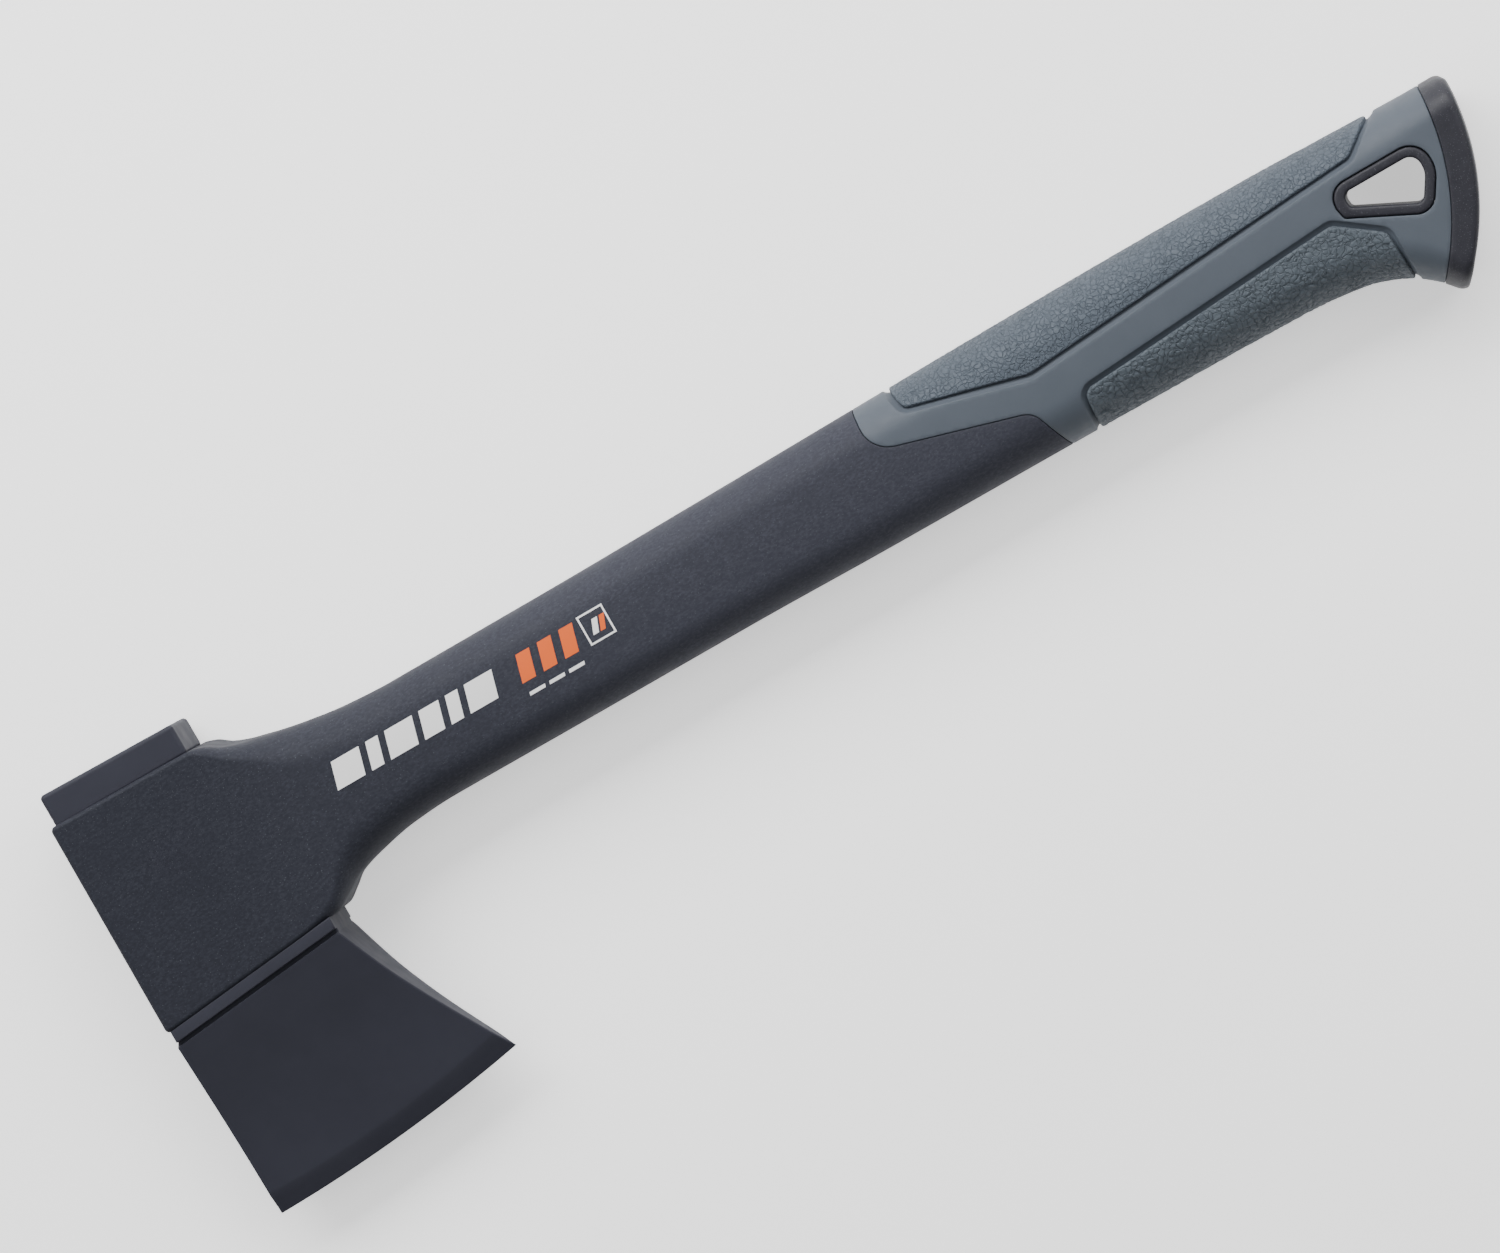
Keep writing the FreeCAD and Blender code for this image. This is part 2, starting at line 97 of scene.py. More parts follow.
# Outlines seen from the side, as (x, y, corner radius)
GRIP_START = ((256.0, 60.0, 0), (256.0, 6.6, 9.0), (300.2, -6.4, 6.0), (308.3, -30.0, 0), (308.3, -70.0, 0),
              (500.0, -70.0, 0), (500.0, 60.0, 0))
BACK_PAD = ((266.9, 40.0, 0), (267.6, 20.0, 3.0), (269.6, 12.9, 2.6), (304.8, 3.3, 6.0),
            (410.6, 11.1, 4.0), (422.6, 21.0, 2.0), (440.0, 40.0, 0))
BELLY_PAD = ((310.5, -50.0, 0), (315.4, -8.4, 3.4), (397.2, -2.9, 3.4),
             (409.8, -12.2, 3.4), (409.8, -50.0, 0))
HANG_HOLE = ((404.4, 3.0, 2.2), (427.2, 3.0, 3.4), (427.1, -3.0, 6.0), (422.5, -10.2, 2.2),
             (404.6, -1.25, 1.4), (404.4, 0.4, 1.0))
BACK_GROOVE = 1.7             # width of the groove round each pad
BELLY_GROOVE = 1.45
EYELET_WALL = 3.0
POINTED_TIP = ((401.6, -3.1, 1.4), (400.9, 0.1, 0.4))    # the rim comes to a point here
CAP_SEAM_ARC = ((436.8, 18.8), (432.7, -5.0), (416.4, -32.6))
CAP_BACK_ARC = ((444.3, 17.3), (439.7, -8.9), (420.6, -37.5))
CAP_TOP_CORNER = (443.0, 19.4)
CAP_TIP = (418.6, -37.4)


# ---- The handle's outer surface
def smooth_curve(places, values, query):
    """Values at the query places on a smooth curve that never overshoots the given ones."""
    steps = np.diff(places)[:, None]
    slopes = np.diff(values, axis=0) / steps
    before, after = slopes[:-1], slopes[1:]
    same_way = before * after > 0
    total = np.where(same_way, before + after, 1.0)
    inner = np.where(same_way, 2 * before * after / total, 0.0)
    tangents = np.vstack([slopes[:1], inner, slopes[-1:]])
    span = np.clip(np.searchsorted(places, query, side="right") - 1, 0, len(places) - 2)
    width = (places[span + 1] - places[span])[:, None]
    share = (query - places[span])[:, None] / width
    rise = values[span + 1] - values[span]
    lead = tangents[span] * width
    trail = tangents[span + 1] * width
    bend = 3 * rise - 2 * lead - trail + share * (lead + trail - 2 * rise)
    return values[span] + share * (lead + share * bend)


PLACES = (SECTIONS[:, 0] + SECTIONS[:, 2]) / 2
QUARTER = math.pi / 2
SMALLEST_CORNER = 0.3


class Section:
    """The handle's cross-sections at several places along it, shrunk all round by an inset."""

    def __init__(self, s, inset=0.0):
        rows = smooth_curve(PLACES, SECTIONS, np.asarray(s, float)).T
        top_x, top_y, low_x, low_y, half, top_tall, top_wide, low_tall, low_wide, crown = rows
        self.base = np.stack([low_x, low_y], 1)
        up = np.stack([top_x - low_x, top_y - low_y], 1)
        height = np.linalg.norm(up, axis=1)
        self.up = up / height[:, None]
        self.base = self.base + self.up * np.reshape(inset, (-1, 1))
        self.height = height - 2 * inset
        self.half = half - inset
        self.top_tall, self.top_wide, self.low_tall, self.low_wide = (
            np.maximum(size - inset, SMALLEST_CORNER) for size in (top_tall, top_wide, low_tall, low_wide))
        self.crown = crown
        self.low_flat = self.half - self.low_wide
        self.low_arc = QUARTER * np.sqrt((self.low_tall ** 2 + self.low_wide ** 2) / 2)
        self.side = self.height - self.low_tall - self.top_tall
        self.top_arc = QUARTER * np.sqrt((self.top_tall ** 2 + self.top_wide ** 2) / 2)
        self.top_flat = self.half - self.top_wide
        self.girth = self.low_flat + self.low_arc + self.side + self.top_arc + self.top_flat

    def points(self, v):
        """Points at the share v of the way round the near side, from the low line to the top line."""
        w = v * self.girth
        side_start = self.low_flat + self.low_arc
        top_start = side_start + self.side
        low_turn = np.clip((w - self.low_flat) / self.low_arc, 0, 1) * QUARTER
        top_turn = np.clip((w - top_start) / self.top_arc, 0, 1) * QUARTER
        a = self.low_tall * (1 - np.cos(low_turn)) + np.clip(w - side_start, 0, self.side)
        a = a + self.top_tall * np.sin(top_turn)
        z = np.minimum(w, self.low_flat) + self.low_wide * np.sin(low_turn)
        z = z - self.top_wide * (1 - np.cos(top_turn)) - np.maximum(w - top_start - self.top_arc, 0)
        across = 2 * a / self.height - 1
        z = z * (1 - self.crown / self.half) + self.crown * (1 - across ** 2)
        z = np.where((v <= 0) | (v >= 1), 0.0, z)
        xy = self.base + self.up * a[:, None]
        return np.column_stack([xy, z])

    def share_at(self, a):
        """Share of the way round at a height up the section."""
        a = np.clip(a, 0, self.height)
        low = self.low_flat + self.low_arc * np.arccos(np.clip(1 - a / self.low_tall, -1, 1)) / QUARTER
        down = np.clip(1 - (self.height - a) / self.top_tall, -1, 1)
        top = self.girth - self.top_flat - self.top_arc * np.arccos(down) / QUARTER
        side = self.low_flat + self.low_arc + a - self.low_tall
        w = np.where(a < self.low_tall, low, np.where(a > self.height - self.top_tall, top, side))
        w = np.where(a <= 0, 0.0, np.where(a >= self.height, self.girth, w))
        return w / self.girth


def skin(s, v, lift=0.0):
    """Points of the near side, moved out by lift along the surface, and the outward directions."""
    s = np.asarray(s, float)
    v = np.asarray(v, float)
    section = Section(s)
    reach = 0.02
    step = reach / section.girth
    point = section.points(v)
    round_way = section.points(np.minimum(v + step, 1)) - section.points(np.maximum(v - step, 0))
    along = Section(s + reach).points(v) - Section(s - reach).points(v)
    normal = np.cross(along, round_way)
    normal = normal / np.linalg.norm(normal, axis=1)[:, None]
    on_line = (v <= 0) | (v >= 1)
    normal[on_line, 2] = 0.0
    normal = normal / np.linalg.norm(normal, axis=1)[:, None]
    return point + normal * np.reshape(lift, (-1, 1)), normal


def locate(xy):
    """Where points seen from the side lie on the skin: place along, share round, and height past it."""
    low = np.full(len(xy), PLACES[0])
    high = np.full(len(xy), PLACES[-1])
    halvings = 40
    for _ in range(halvings):
        middle = (low + high) / 2
        section = Section(middle)
        to_point = xy - section.base
        behind = section.up[:, 0] * to_point[:, 1] - section.up[:, 1] * to_point[:, 0] < 0
        low = np.where(behind, middle, low)
        high = np.where(behind, high, middle)
    s = (low + high) / 2
    section = Section(s)
    a = np.sum((xy - section.base) * section.up, axis=1)
    return s, section.share_at(a), a / section.height


def skin_z(xy):
    """Height of the near side over points seen from the side."""
    s, v, _ = locate(xy)
    return Section(s).points(v)[:, 2]


# ---- Outlines seen from the side
SMALLEST_RADIUS = 0.15
FEWEST_CORNER_STEPS = 6


def moved_outline(outline, distance):
    """The outline with each side moved outwards, its corner radii growing by as much."""
    points = np.array([corner[:2] for corner in outline], float)
    after = np.roll(points, -1, axis=0)
    area = np.sum(points[:, 0] * after[:, 1] - after[:, 0] * points[:, 1])
    turn = 1.0 if area > 0 else -1.0
    forward = after - points
    forward = forward / np.linalg.norm(forward, axis=1)[:, None]
    outward = np.stack([forward[:, 1], -forward[:, 0]], 1) * turn
    last = np.roll(outward, 1, axis=0)
    miter = (outward + last) / (1 + np.sum(outward * last, axis=1))[:, None]
    moved = points + miter * distance
    arriving = np.roll(forward, 1, axis=0)
    convex = turn * (arriving[:, 0] * forward[:, 1] - arriving[:, 1] * forward[:, 0]) > 0
    result = []
    for i, (x, y) in enumerate(moved):
        radius = outline[i][2]
        if radius:
            radius = max(radius + (distance if convex[i] else -distance), SMALLEST_RADIUS)
        result.append((x, y, radius))
    return tuple(result)


def rounded(outline, spacing=0.12):
    """Closed line of points along the outline, with its corners rounded."""
    line = []
    count = len(outline)
    for i, (x, y, radius) in enumerate(outline):
        corner = np.array([x, y])
        before = np.array(outline[i - 1][:2]) - corner
        after = np.array(outline[(i + 1) % count][:2]) - corner
        before = before / np.linalg.norm(before)
        after = after / np.linalg.norm(after)
        if not radius:
            line.append(corner)
            continue
        half_angle = math.acos(np.clip(before @ after, -1, 1)) / 2
        tangent = radius / math.tan(half_angle)
        centre = corner + (before + after) / np.linalg.norm(before + after) * radius / math.sin(half_angle)
        start = corner + before * tangent - centre
        end = corner + after * tangent - centre
        turn = math.atan2(start[0] * end[1] - start[1] * end[0], start @ end)
        steps = max(int(abs(turn) * radius / spacing), FEWEST_CORNER_STEPS)
        for k in range(steps + 1):
            angle = turn * k / steps
            cos, sin = math.cos(angle), math.sin(angle)
            spoke = (start[0] * cos - start[1] * sin, start[0] * sin + start[1] * cos)
            line.append(centre + spoke)
    return np.array(line)


def rings(outline, moves):
    """Rounded lines round an outline, one for each move outwards."""
    return [rounded(moved_outline(outline, move)) for move in moves]


def arc_line(points, count):
    """Points along the circle's arc through three points, and the circle's centre and radius."""
    (ax, ay), (bx, by), (cx, cy) = points
    d = 2 * (ax * (by - cy) + bx * (cy - ay) + cx * (ay - by))
    a2, b2, c2 = (x ** 2 + y ** 2 for x, y in points)
    ux = (a2 * (by - cy) + b2 * (cy - ay) + c2 * (ay - by)) / d
    uy = (a2 * (cx - bx) + b2 * (ax - cx) + c2 * (bx - ax)) / d
    radius = math.hypot(ax - ux, ay - uy)
    start = math.atan2(ay - uy, ax - ux)
    turn = math.remainder(math.atan2(cy - uy, cx - ux) - start, 2 * math.pi)
    angles = start + turn * np.linspace(0, 1, count)
    line = np.stack([ux + radius * np.cos(angles), uy + radius * np.sin(angles)], 1)
    return line, np.array([ux, uy]), radius


def dense(line, spacing):
    """The same closed line with points at most a spacing apart."""
    result = []
    for a, b in zip(line, np.roll(line, -1, axis=0)):
        steps = max(math.ceil(np.linalg.norm(b - a) / spacing), 1)
        result += [a + (b - a) * k / steps for k in range(steps)]
    return np.array(result)


def inside_border(starts, ends, xy):
    """Whether points lie within closed borders given as edges."""
    x, y = xy[:, :1], xy[:, 1:]
    crossing = (starts[:, 1] > y) != (ends[:, 1] > y)
    rise = ends[:, 1] - starts[:, 1]
    rise = np.where(rise == 0, 1.0, rise)
    cross_x = starts[:, 0] + (y - starts[:, 1]) / rise * (ends[:, 0] - starts[:, 0])
    return np.sum(crossing & (x < cross_x), axis=1) % 2 == 1


def distance_inside(line, xy):
    """Distance of each point from a closed line, positive inside it."""
    result = np.empty(len(xy))
    after = np.roll(line, -1, axis=0)
    along = after - line
    length2 = np.maximum(np.sum(along ** 2, axis=1), 1e-12)
    chunk = 2000
    for start in range(0, len(xy), chunk):
        some = xy[start:start + chunk]
        to_point = some[:, None, :] - line
        share = np.clip(np.sum(to_point * along, axis=2) / length2, 0, 1)
        gap = np.linalg.norm(to_point - share[..., None] * along, axis=2).min(axis=1)
        result[start:start + chunk] = np.where(inside_border(line, after, some), gap, -gap)
    return result


# ---- Meshing a stretch of the skin
WHOLE_HULL = 0                # all triangles are asked for, and those outside are then left out
# Room kept between points, as shares of their spacing
CLEAR_OF_STOPS = 0.45
CLEAR_OF_LINES = 0.55
CLEAR_OF_RIM = 0.5
CLEAR_OF_ENDS = 0.4
ROW_STEP = 0.87
INNER_SPACING = 6.0           # of the points on hidden inner sheets
FEWEST_END_STEPS = 8
GIRTH_SAMPLES = 50


def to_flat(s, v):
    """Nearly true-to-length flat coordinates of the skin."""
    return np.stack([s, (v - 0.5) * Section(s).girth], 1)


def from_flat(flat):
    """Places along and shares round for flat coordinates, snapped to the top and low lines."""
    snap = 2e-5
    share = flat[:, 1] / Section(flat[:, 0]).girth + 0.5
    share = np.where(share < snap, 0.0, np.where(share > 1 - snap, 1.0, share))
    return flat[:, 0], share


def runs_on_skin(line, spacing):
    """The stretches of a closed side-view line that lie on the skin, as flat lines of even spacing."""
    fine, margin = 0.08, 0.01
    points = dense(line, fine)
    s, v, rise = locate(points)
    inside = (rise >= 0) & (rise <= 1) & (s > PLACES[0] + margin) & (s < PLACES[-1] - margin)
    flat = to_flat(s, v)
    if inside.all():
        return [even(np.vstack([flat, flat[:1]]), spacing)]
    start = int(np.argmax(~inside))
    order = np.roll(np.arange(len(points)), -start)
    stretches = []
    current = []
    for i, j in zip(order, np.roll(order, -1)):
        if inside[i]:
            current.append(flat[i])
        if inside[i] != inside[j]:
            edge = 0.0 if min(rise[i], rise[j]) < 0 else 1.0
            share = (edge - rise[i]) / (rise[j] - rise[i])
            current.append(to_flat(s[i:i + 1] + (s[j] - s[i]) * share, edge)[0])
        if inside[i] and not inside[j]:
            stretches.append(current)
            current = []
    return [even(np.array(stretch), spacing) for stretch in stretches if len(stretch) > 2]


def even(line, spacing):
    """A line resampled to an even spacing, keeping its ends."""
    gaps = np.linalg.norm(np.diff(line, axis=0), axis=1)
    travel = np.concatenate([[0], np.cumsum(gaps)])
    count = max(int(round(travel[-1] / spacing)), 2)
    marks = np.linspace(0, travel[-1], count + 1)
    return np.stack([np.interp(marks, travel, line[:, k]) for k in range(2)], 1)


def triangulate(lines, interior, span, spacing, keep, start_shares=None):
    """Triangles over a stretch of the near side, with edges along all the given flat lines."""
    lines = list(lines)
    stops = {0.0: [], 1.0: []}
    for line in lines:
        if not np.allclose(line[0], line[-1]):
            for end in (line[0], line[-1]):
                stops[1.0 if end[1] > 0 else 0.0].append(end[0])
    for side, places in stops.items():
        s = np.linspace(*span, max(int((span[1] - span[0]) / spacing), 2) + 1)
        if places:
            places = np.array(sorted(places))
            near = np.abs(s[:, None] - places).min(axis=1) < spacing * CLEAR_OF_STOPS
            near[[0, -1]] = False
            s = np.sort(np.concatenate([s[~near], places]))
        lines.append(to_flat(s, np.full(len(s), side)))
    for s_end, shares in zip(span, (start_shares, None)):
        shares = end_shares(s_end, spacing) if shares is None else shares
        lines.append(to_flat(np.full(len(shares), s_end), shares))
    points = []
    edges = []
    for line in lines:
        closed = np.allclose(line[0], line[-1])
        first = len(points)
        points.extend(line[:-1] if closed else line)
        last = len(points) - 1
        edges += [(i, i + 1) for i in range(first, last)]
        if closed:
            edges.append((last, first))
    points = np.vstack([points, away_from(interior, points, spacing * CLEAR_OF_LINES)])
    tolerance = 1e-4
    verts, _, faces, _, _, _ = delaunay_2d_cdt(vectors(points), edges, [], WHOLE_HULL, tolerance, False)
    flat = np.array(verts)
    faces = np.array([f for f in faces if len(f) == 3])
    s, v = from_flat(flat)
    along = flat[faces][:, :, 0]
    faces = faces[(along.min(axis=1) >= span[0] - tolerance) & (along.max(axis=1) <= span[1] + tolerance)]
    middle = flat[faces].mean(axis=1)
    section = Section(middle[:, 0])
    within = np.abs(middle[:, 1]) < section.girth / 2
    share = np.clip(middle[:, 1] / section.girth + 0.5, 0, 1)
    faces = faces[within & keep(section.points(share)[:, :2])]
    used = np.unique(faces)
    lookup = np.full(len(flat), -1)
    lookup[used] = np.arange(len(used))
    return s[used], v[used], [tuple(face) for face in lookup[faces].tolist()]


def vectors(points):
    """Flat points in the form that the triangulation takes."""
    return [Vector((float(x), float(y))) for x, y in points]


def end_shares(s, spacing):
    """Even steps round the near side at one place along it."""
    count = max(int(Section([s]).girth[0] / spacing), FEWEST_END_STEPS)
    return np.linspace(0, 1, count + 1)


def away_from(points, others, gap):
    """The points that have none of the others within the gap."""
    tree = kdtree.KDTree(len(others))
    for i, (x, y) in enumerate(others):
        tree.insert((x, y, 0), i)
    tree.balance()
    kept = [tree.find((x, y, 0))[2] > gap for x, y in points]
    return points[np.array(kept, bool)]


def lattice(s_from, s_to, spacing, keep):
    """Staggered interior points over a stretch of the near side."""
    rows = np.arange(s_from + spacing / 2, s_to, spacing * ROW_STEP)
    half = 0.5 * Section(np.linspace(s_from, s_to, GIRTH_SAMPLES)).girth.max()
    across = np.arange(-half, half, spacing)
    points = np.array([(s, w + (spacing / 2 if k % 2 else 0)) for k, s in enumerate(rows) for w in across])
    girth = Section(points[:, 0]).girth
    points = points[np.abs(points[:, 1]) < girth / 2 - spacing * CLEAR_OF_ENDS]
    s, v = from_flat(points)
    return points[keep(Section(s).points(v)[:, :2])]


# ---- Closing sheets and making objects
WELD = 1e-6                   # metres
SHARP = math.radians(42)
ON_MID_PLANE = 1e-6           # a point no higher than this lies on the mid-plane


def border_of(faces):
    """Directed edges that belong to one face only."""
    seen = {(a, b) for face in faces for a, b in zip(face, tuple(face[1:]) + (face[0],))}
    return [(a, b) for a, b in seen if (b, a) not in seen]


def mesh_lists(work):
    """A working mesh's points and faces, and the end of that mesh."""
    work.verts.index_update()
    points = np.array([vert.co for vert in work.verts])
    faces = [tuple(vert.index for vert in face.verts) for face in work.faces]
    work.free()
    return points, faces


def welded(points, faces):
    """The same faces, with points that lie on one another made one."""
    work = bmesh.new()
    verts = [work.verts.new(p) for p in points]
    for face in faces:
        work.faces.new([verts[i] for i in face])
    bmesh.ops.remove_doubles(work, verts=work.verts, dist=WELD / MM)
    return mesh_lists(work)


def walled(points, faces):
    """The near half closed by walls from the sheet's borders straight to the mid-plane."""
    points, faces = welded(points, faces)
    edge = [(a, b) for a, b in border_of(faces) if max(points[a][2], points[b][2]) > ON_MID_PLANE]
    rim = sorted({i for pair in edge for i in pair})
    foot = {i: len(points) + k for k, i in enumerate(rim)}
    feet = points[rim] * np.array([1, 1, 0])
    walls = [(b, a, foot[a], foot[b]) for a, b in edge]
    return np.vstack([points, feet]), list(faces) + walls


def sheet(span, lines, keep, height, spacing, lattice_spacing, start_shares=None):
    """A sheet over a stretch of the skin: places along, shares round, faces, points and normals."""
    interior = lattice(*span, lattice_spacing, keep)
    s, v, faces = triangulate(lines, interior, span, spacing, keep, start_shares)
    return s, v, faces, *skin(s, v, height(Section(s).points(v)[:, :2]))


def shell(span, lines, keep, height, spacing, lattice_spacing, inner_lift):
    """A closed half shell: a fine outer sheet, a coarse inner sheet, and walls between their borders."""
    s, v, faces, outer, normal = sheet(span, lines, keep, height, spacing, lattice_spacing)
    edge = border_of(faces)
    rim = sorted({i for pair in edge for i in pair})
    place = {i: k for k, i in enumerate(rim)}
    flat = to_flat(s[rim], v[rim])
    coarse = away_from(lattice(*span, INNER_SPACING, keep), flat, INNER_SPACING * CLEAR_OF_RIM)
    points = vectors(np.vstack([flat, coarse]))
    edges = [(place[a], place[b]) for a, b in edge]
    tolerance = 1e-6
    verts, _, inner_faces, source, _, _ = delaunay_2d_cdt(points, edges, [], WHOLE_HULL, tolerance, True)
    flat_in = np.array(verts)
    inner_faces = np.array([face for face in inner_faces if len(face) == 3])
    s_in, v_in = from_flat(flat_in)
    starts, ends = flat[np.array(edges).T]
    inner_faces = inner_faces[inside_border(starts, ends, flat_in[inner_faces].mean(axis=1))]
    inner_of = {}
    for k, sources in enumerate(source):
        for i in sources:
            if i < len(rim):
                inner_of[rim[i]] = k
                s_in[k], v_in[k] = s[rim[i]], v[rim[i]]
    inner, inner_normal = skin(s_in, v_in, inner_lift)
    first = len(outer)
    faces += [(first + int(c), first + int(b), first + int(a)) for a, b, c in inner_faces]
    on_line = (v <= 0) | (v >= 1)
    for a, b in edge:
        if not (on_line[a] and on_line[b]):
            faces.append((b, a, first + inner_of[a], first + inner_of[b]))
    return np.vstack([outer, inner]), faces, np.vstack([normal, inner_normal * 0])


def surface(edges, dips=()):
    """Whether points lie within all of the edges, and how high the surface is near edges and dips.

    Each of them is a closed line, the side of it that counts, 1 inside or -1 outside, and the
    surface's height at distances from the line.
    """
    def keep(xy):
        return np.all([side * distance_inside(line, xy) > 0 for line, side, _, _ in edges], axis=0)

    def height(xy):
        return np.min([np.interp(side * distance_inside(line, xy), at, lift)
                       for line, side, at, lift in (*edges, *dips)], axis=0)

    return keep, height


def both_sides(points, faces):
    """The near half and its mirror image."""
    count = len(points)
    far = points * np.array([1, 1, -1])
    return np.vstack([points, far]), list(faces) + [tuple(count + i for i in face[::-1]) for face in faces]


def joined(*parts):
    """Several sets of points and faces as one."""
    points = np.vstack([part[0] for part in parts])
    faces = []
    first = 0
    for part in parts:
        faces += [tuple(first + i for i in face) for face in part[1]]
        first += len(part[0])
    return points, faces


def make_object(name, points, faces, material, slot, node=None, weighted=False, crease=None):
    """A finished piece from points and faces, riding on the axe and standing for a node of the frame."""
    mesh = bpy.data.meshes.new(name)
    mesh.from_pydata([tuple(p) for p in (points + ORIGIN) * MM], [], faces)
    if crease is not None:
        mesh.attributes.new("crease", "FLOAT", "POINT").data.foreach_set("value", crease)
    work = bmesh.new()
    work.from_mesh(mesh)
    bmesh.ops.remove_doubles(work, verts=work.verts, dist=WELD)
    loose = [vert for vert in work.verts if not vert.link_faces]
    bmesh.ops.delete(work, geom=loose, context="VERTS")
    work.to_mesh(mesh)
    work.free()
    mesh.polygons.foreach_set("use_smooth", [True] * len(mesh.polygons))
    mesh.set_sharp_from_angle(angle=SHARP)
    piece = bpy.data.objects.new(name, mesh)
    bpy.context.scene.collection.objects.link(piece)
    mesh.materials.append(material)
    if weighted:
        modifier = piece.modifiers.new("even_shading", "WEIGHTED_NORMAL")
        modifier.keep_sharp = True
    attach(piece, "root")
    if node:
        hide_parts(node)


def grid_faces(rows, columns, closed=False):
    """Faces between rows of points, where closed rows meet their own starts."""
    pairs = [(j, (j + 1) % columns) for j in range(columns if closed else columns - 1)]
    return [(i * columns + j, (i + 1) * columns + j, (i + 1) * columns + k, i * columns + k)
            for i in range(rows - 1) for j, k in pairs]


# ---- Handle: jacket, neck and shaft
STRETCH_STEPS = (4, 10, 22, 10, 4)      # columns over the low flat, low corner, side, top corner, top flat


def tube(s, inset):
    """Rows of points round the near side, with the columns following the corners of each section."""
    s = np.asarray(s, float)
    section = Section(s, inset)
    lengths = (section.low_flat, section.low_arc, section.side, section.top_arc, section.top_flat)
    columns = [np.zeros(len(s))]
    start = np.zeros(len(s))
    for length, steps in zip(lengths, STRETCH_STEPS):
        columns += [start + length * k / steps for k in range(1, steps + 1)]
        start = start + length
    shares = np.clip(np.array(columns) / section.girth, 0, 1)
    shares[-1] = 1.0
    points = np.stack([section.points(share) for share in shares], axis=1)
    return points, shares


JACKET_EDGE = 1.6             # rounding of the jacket's front edges
JACKET_EDGE_STEPS = 6
TAIL = (240.0, 318.0)         # the stretch of shaft that ends under the grip's front edge
# Rows of points along the jacket, its rear corners, the neck and the shaft: from, to, count
BODY_ROWS = ((PLACES[0] + JACKET_EDGE, 44, 22), (45, 72, 64), (73, 110, 30), (112, TAIL[0], 65))
GRIP_GAP = 0.15               # shaft's surface to the grip's front edge
TAIL_ROUNDING = (0.3, 0.12)   # width and depth
GRIP_DEPTH = 2.4
CORE = (230.0, 396.0)         # the thinner core under the grip
CORE_GAP = 0.1


def make_shaft():
    turn = np.linspace(0, QUARTER, JACKET_EDGE_STEPS + 1)[:-1]
    front_s = PLACES[0] + JACKET_EDGE * (1 - np.cos(turn))
    front_inset = JACKET_EDGE * (1 - np.sin(turn))
    body_s = np.concatenate([np.linspace(*rows) for rows in BODY_ROWS])
    inset = np.concatenate([front_inset, np.zeros(len(body_s))])
    grid, shares = tube(np.concatenate([front_s, body_s]), inset)
    body = (grid.reshape(-1, 3), grid_faces(*grid.shape[:2]))
    width, depth = TAIL_ROUNDING
    ends = rings(GRIP_START, (GRIP_GAP, GRIP_GAP + width))
    lines = [run for line in ends for run in runs_on_skin(line, spacing=0.6)]
    tail_surface = surface([(ends[0], -1, (0.0, width), (-depth, 0.0))])
    _, _, tail_faces, tail, _ = sheet(TAIL, lines, *tail_surface, spacing=0.9, lattice_spacing=1.6,
                                      start_shares=shares[:, -1])
    core_grid, _ = tube(np.linspace(*CORE, num=40), GRIP_DEPTH + CORE_GAP)
    core = walled(core_grid.reshape(-1, 3), grid_faces(*core_grid.shape[:2]))
    return both_sides(*joined(walled(*joined(body, (tail, tail_faces))), core))


# ---- Grip: smooth frame and textured pads
FRAME_SPAN = (250.0, 436.0)
SEAM_GAP = 0.1
PAD_DEPTH = 1.4
# Depth of the surface by distance outside a pocket's edge: a slope runs down to the pad's foot
POCKET_AT = (-2.8, -1.5, -0.8, -0.14, 0.0, 0.15, 0.35)
POCKET_DEPTH = (-1.5, -1.35, -1.0, -0.5, -0.3, -0.08, 0.0)
# Depth of a pad's surface by distance inside its edge
PAD_AT = (0.0, 0.1, 0.3, 0.7)
PAD_LIFT = (-0.75, -0.32, -0.1, 0.0)
# Depth by distance from a plain edge of the frame
EDGE_AT = (0.0, 0.12, 0.35)
EDGE_DEPTH = (-0.35, -0.1, 0.0)
FAR = 120.0                   # further than any part of the axe reaches from its axis


def cap_seam_region(move):
    """Side-view outline of everything in front of the butt cap's seam, moved along the handle."""
    line, _, _ = arc_line(CAP_SEAM_ARC, count=60)
    line = line + (move, 0)
    lead_out = 12
    top = line[0] + (line[0] - line[1]) * lead_out
    low = line[-1] + (line[-1] - line[-2]) * lead_out
    return np.vstack([line, low, (low[0], -FAR), (-FAR, -FAR), (-FAR, FAR), (top[0], FAR), top])


def make_frame():
    front = rings(GRIP_START, np.negative(EDGE_AT))
    sleeve = [rounded(sleeve_outline(RIM_GAP + at)) for at in EDGE_AT]
    seam = [cap_seam_region(-at - SEAM_GAP) for at in EDGE_AT]
    pockets = [rings(pad, np.add(POCKET_AT, groove))
               for pad, groove in ((BACK_PAD, BACK_GROOVE), (BELLY_PAD, BELLY_GROOVE))]
    edges = [(lines[0], side, EDGE_AT, EDGE_DEPTH) for lines, side in ((front, 1), (seam, 1), (sleeve, -1))]
    pocket_edge = POCKET_AT.index(0.0)
    dips = [(lines[pocket_edge], -1, POCKET_AT, POCKET_DEPTH) for lines in pockets]
    outlines = front + sleeve + seam + pockets[0] + pockets[1]
    lines = [run for line in outlines for run in runs_on_skin(line, spacing=0.5)]
    points, faces, _ = shell(FRAME_SPAN, lines, *surface(edges, dips), spacing=0.8, lattice_spacing=1.1,
                             inner_lift=-GRIP_DEPTH)
    return both_sides(points, faces)


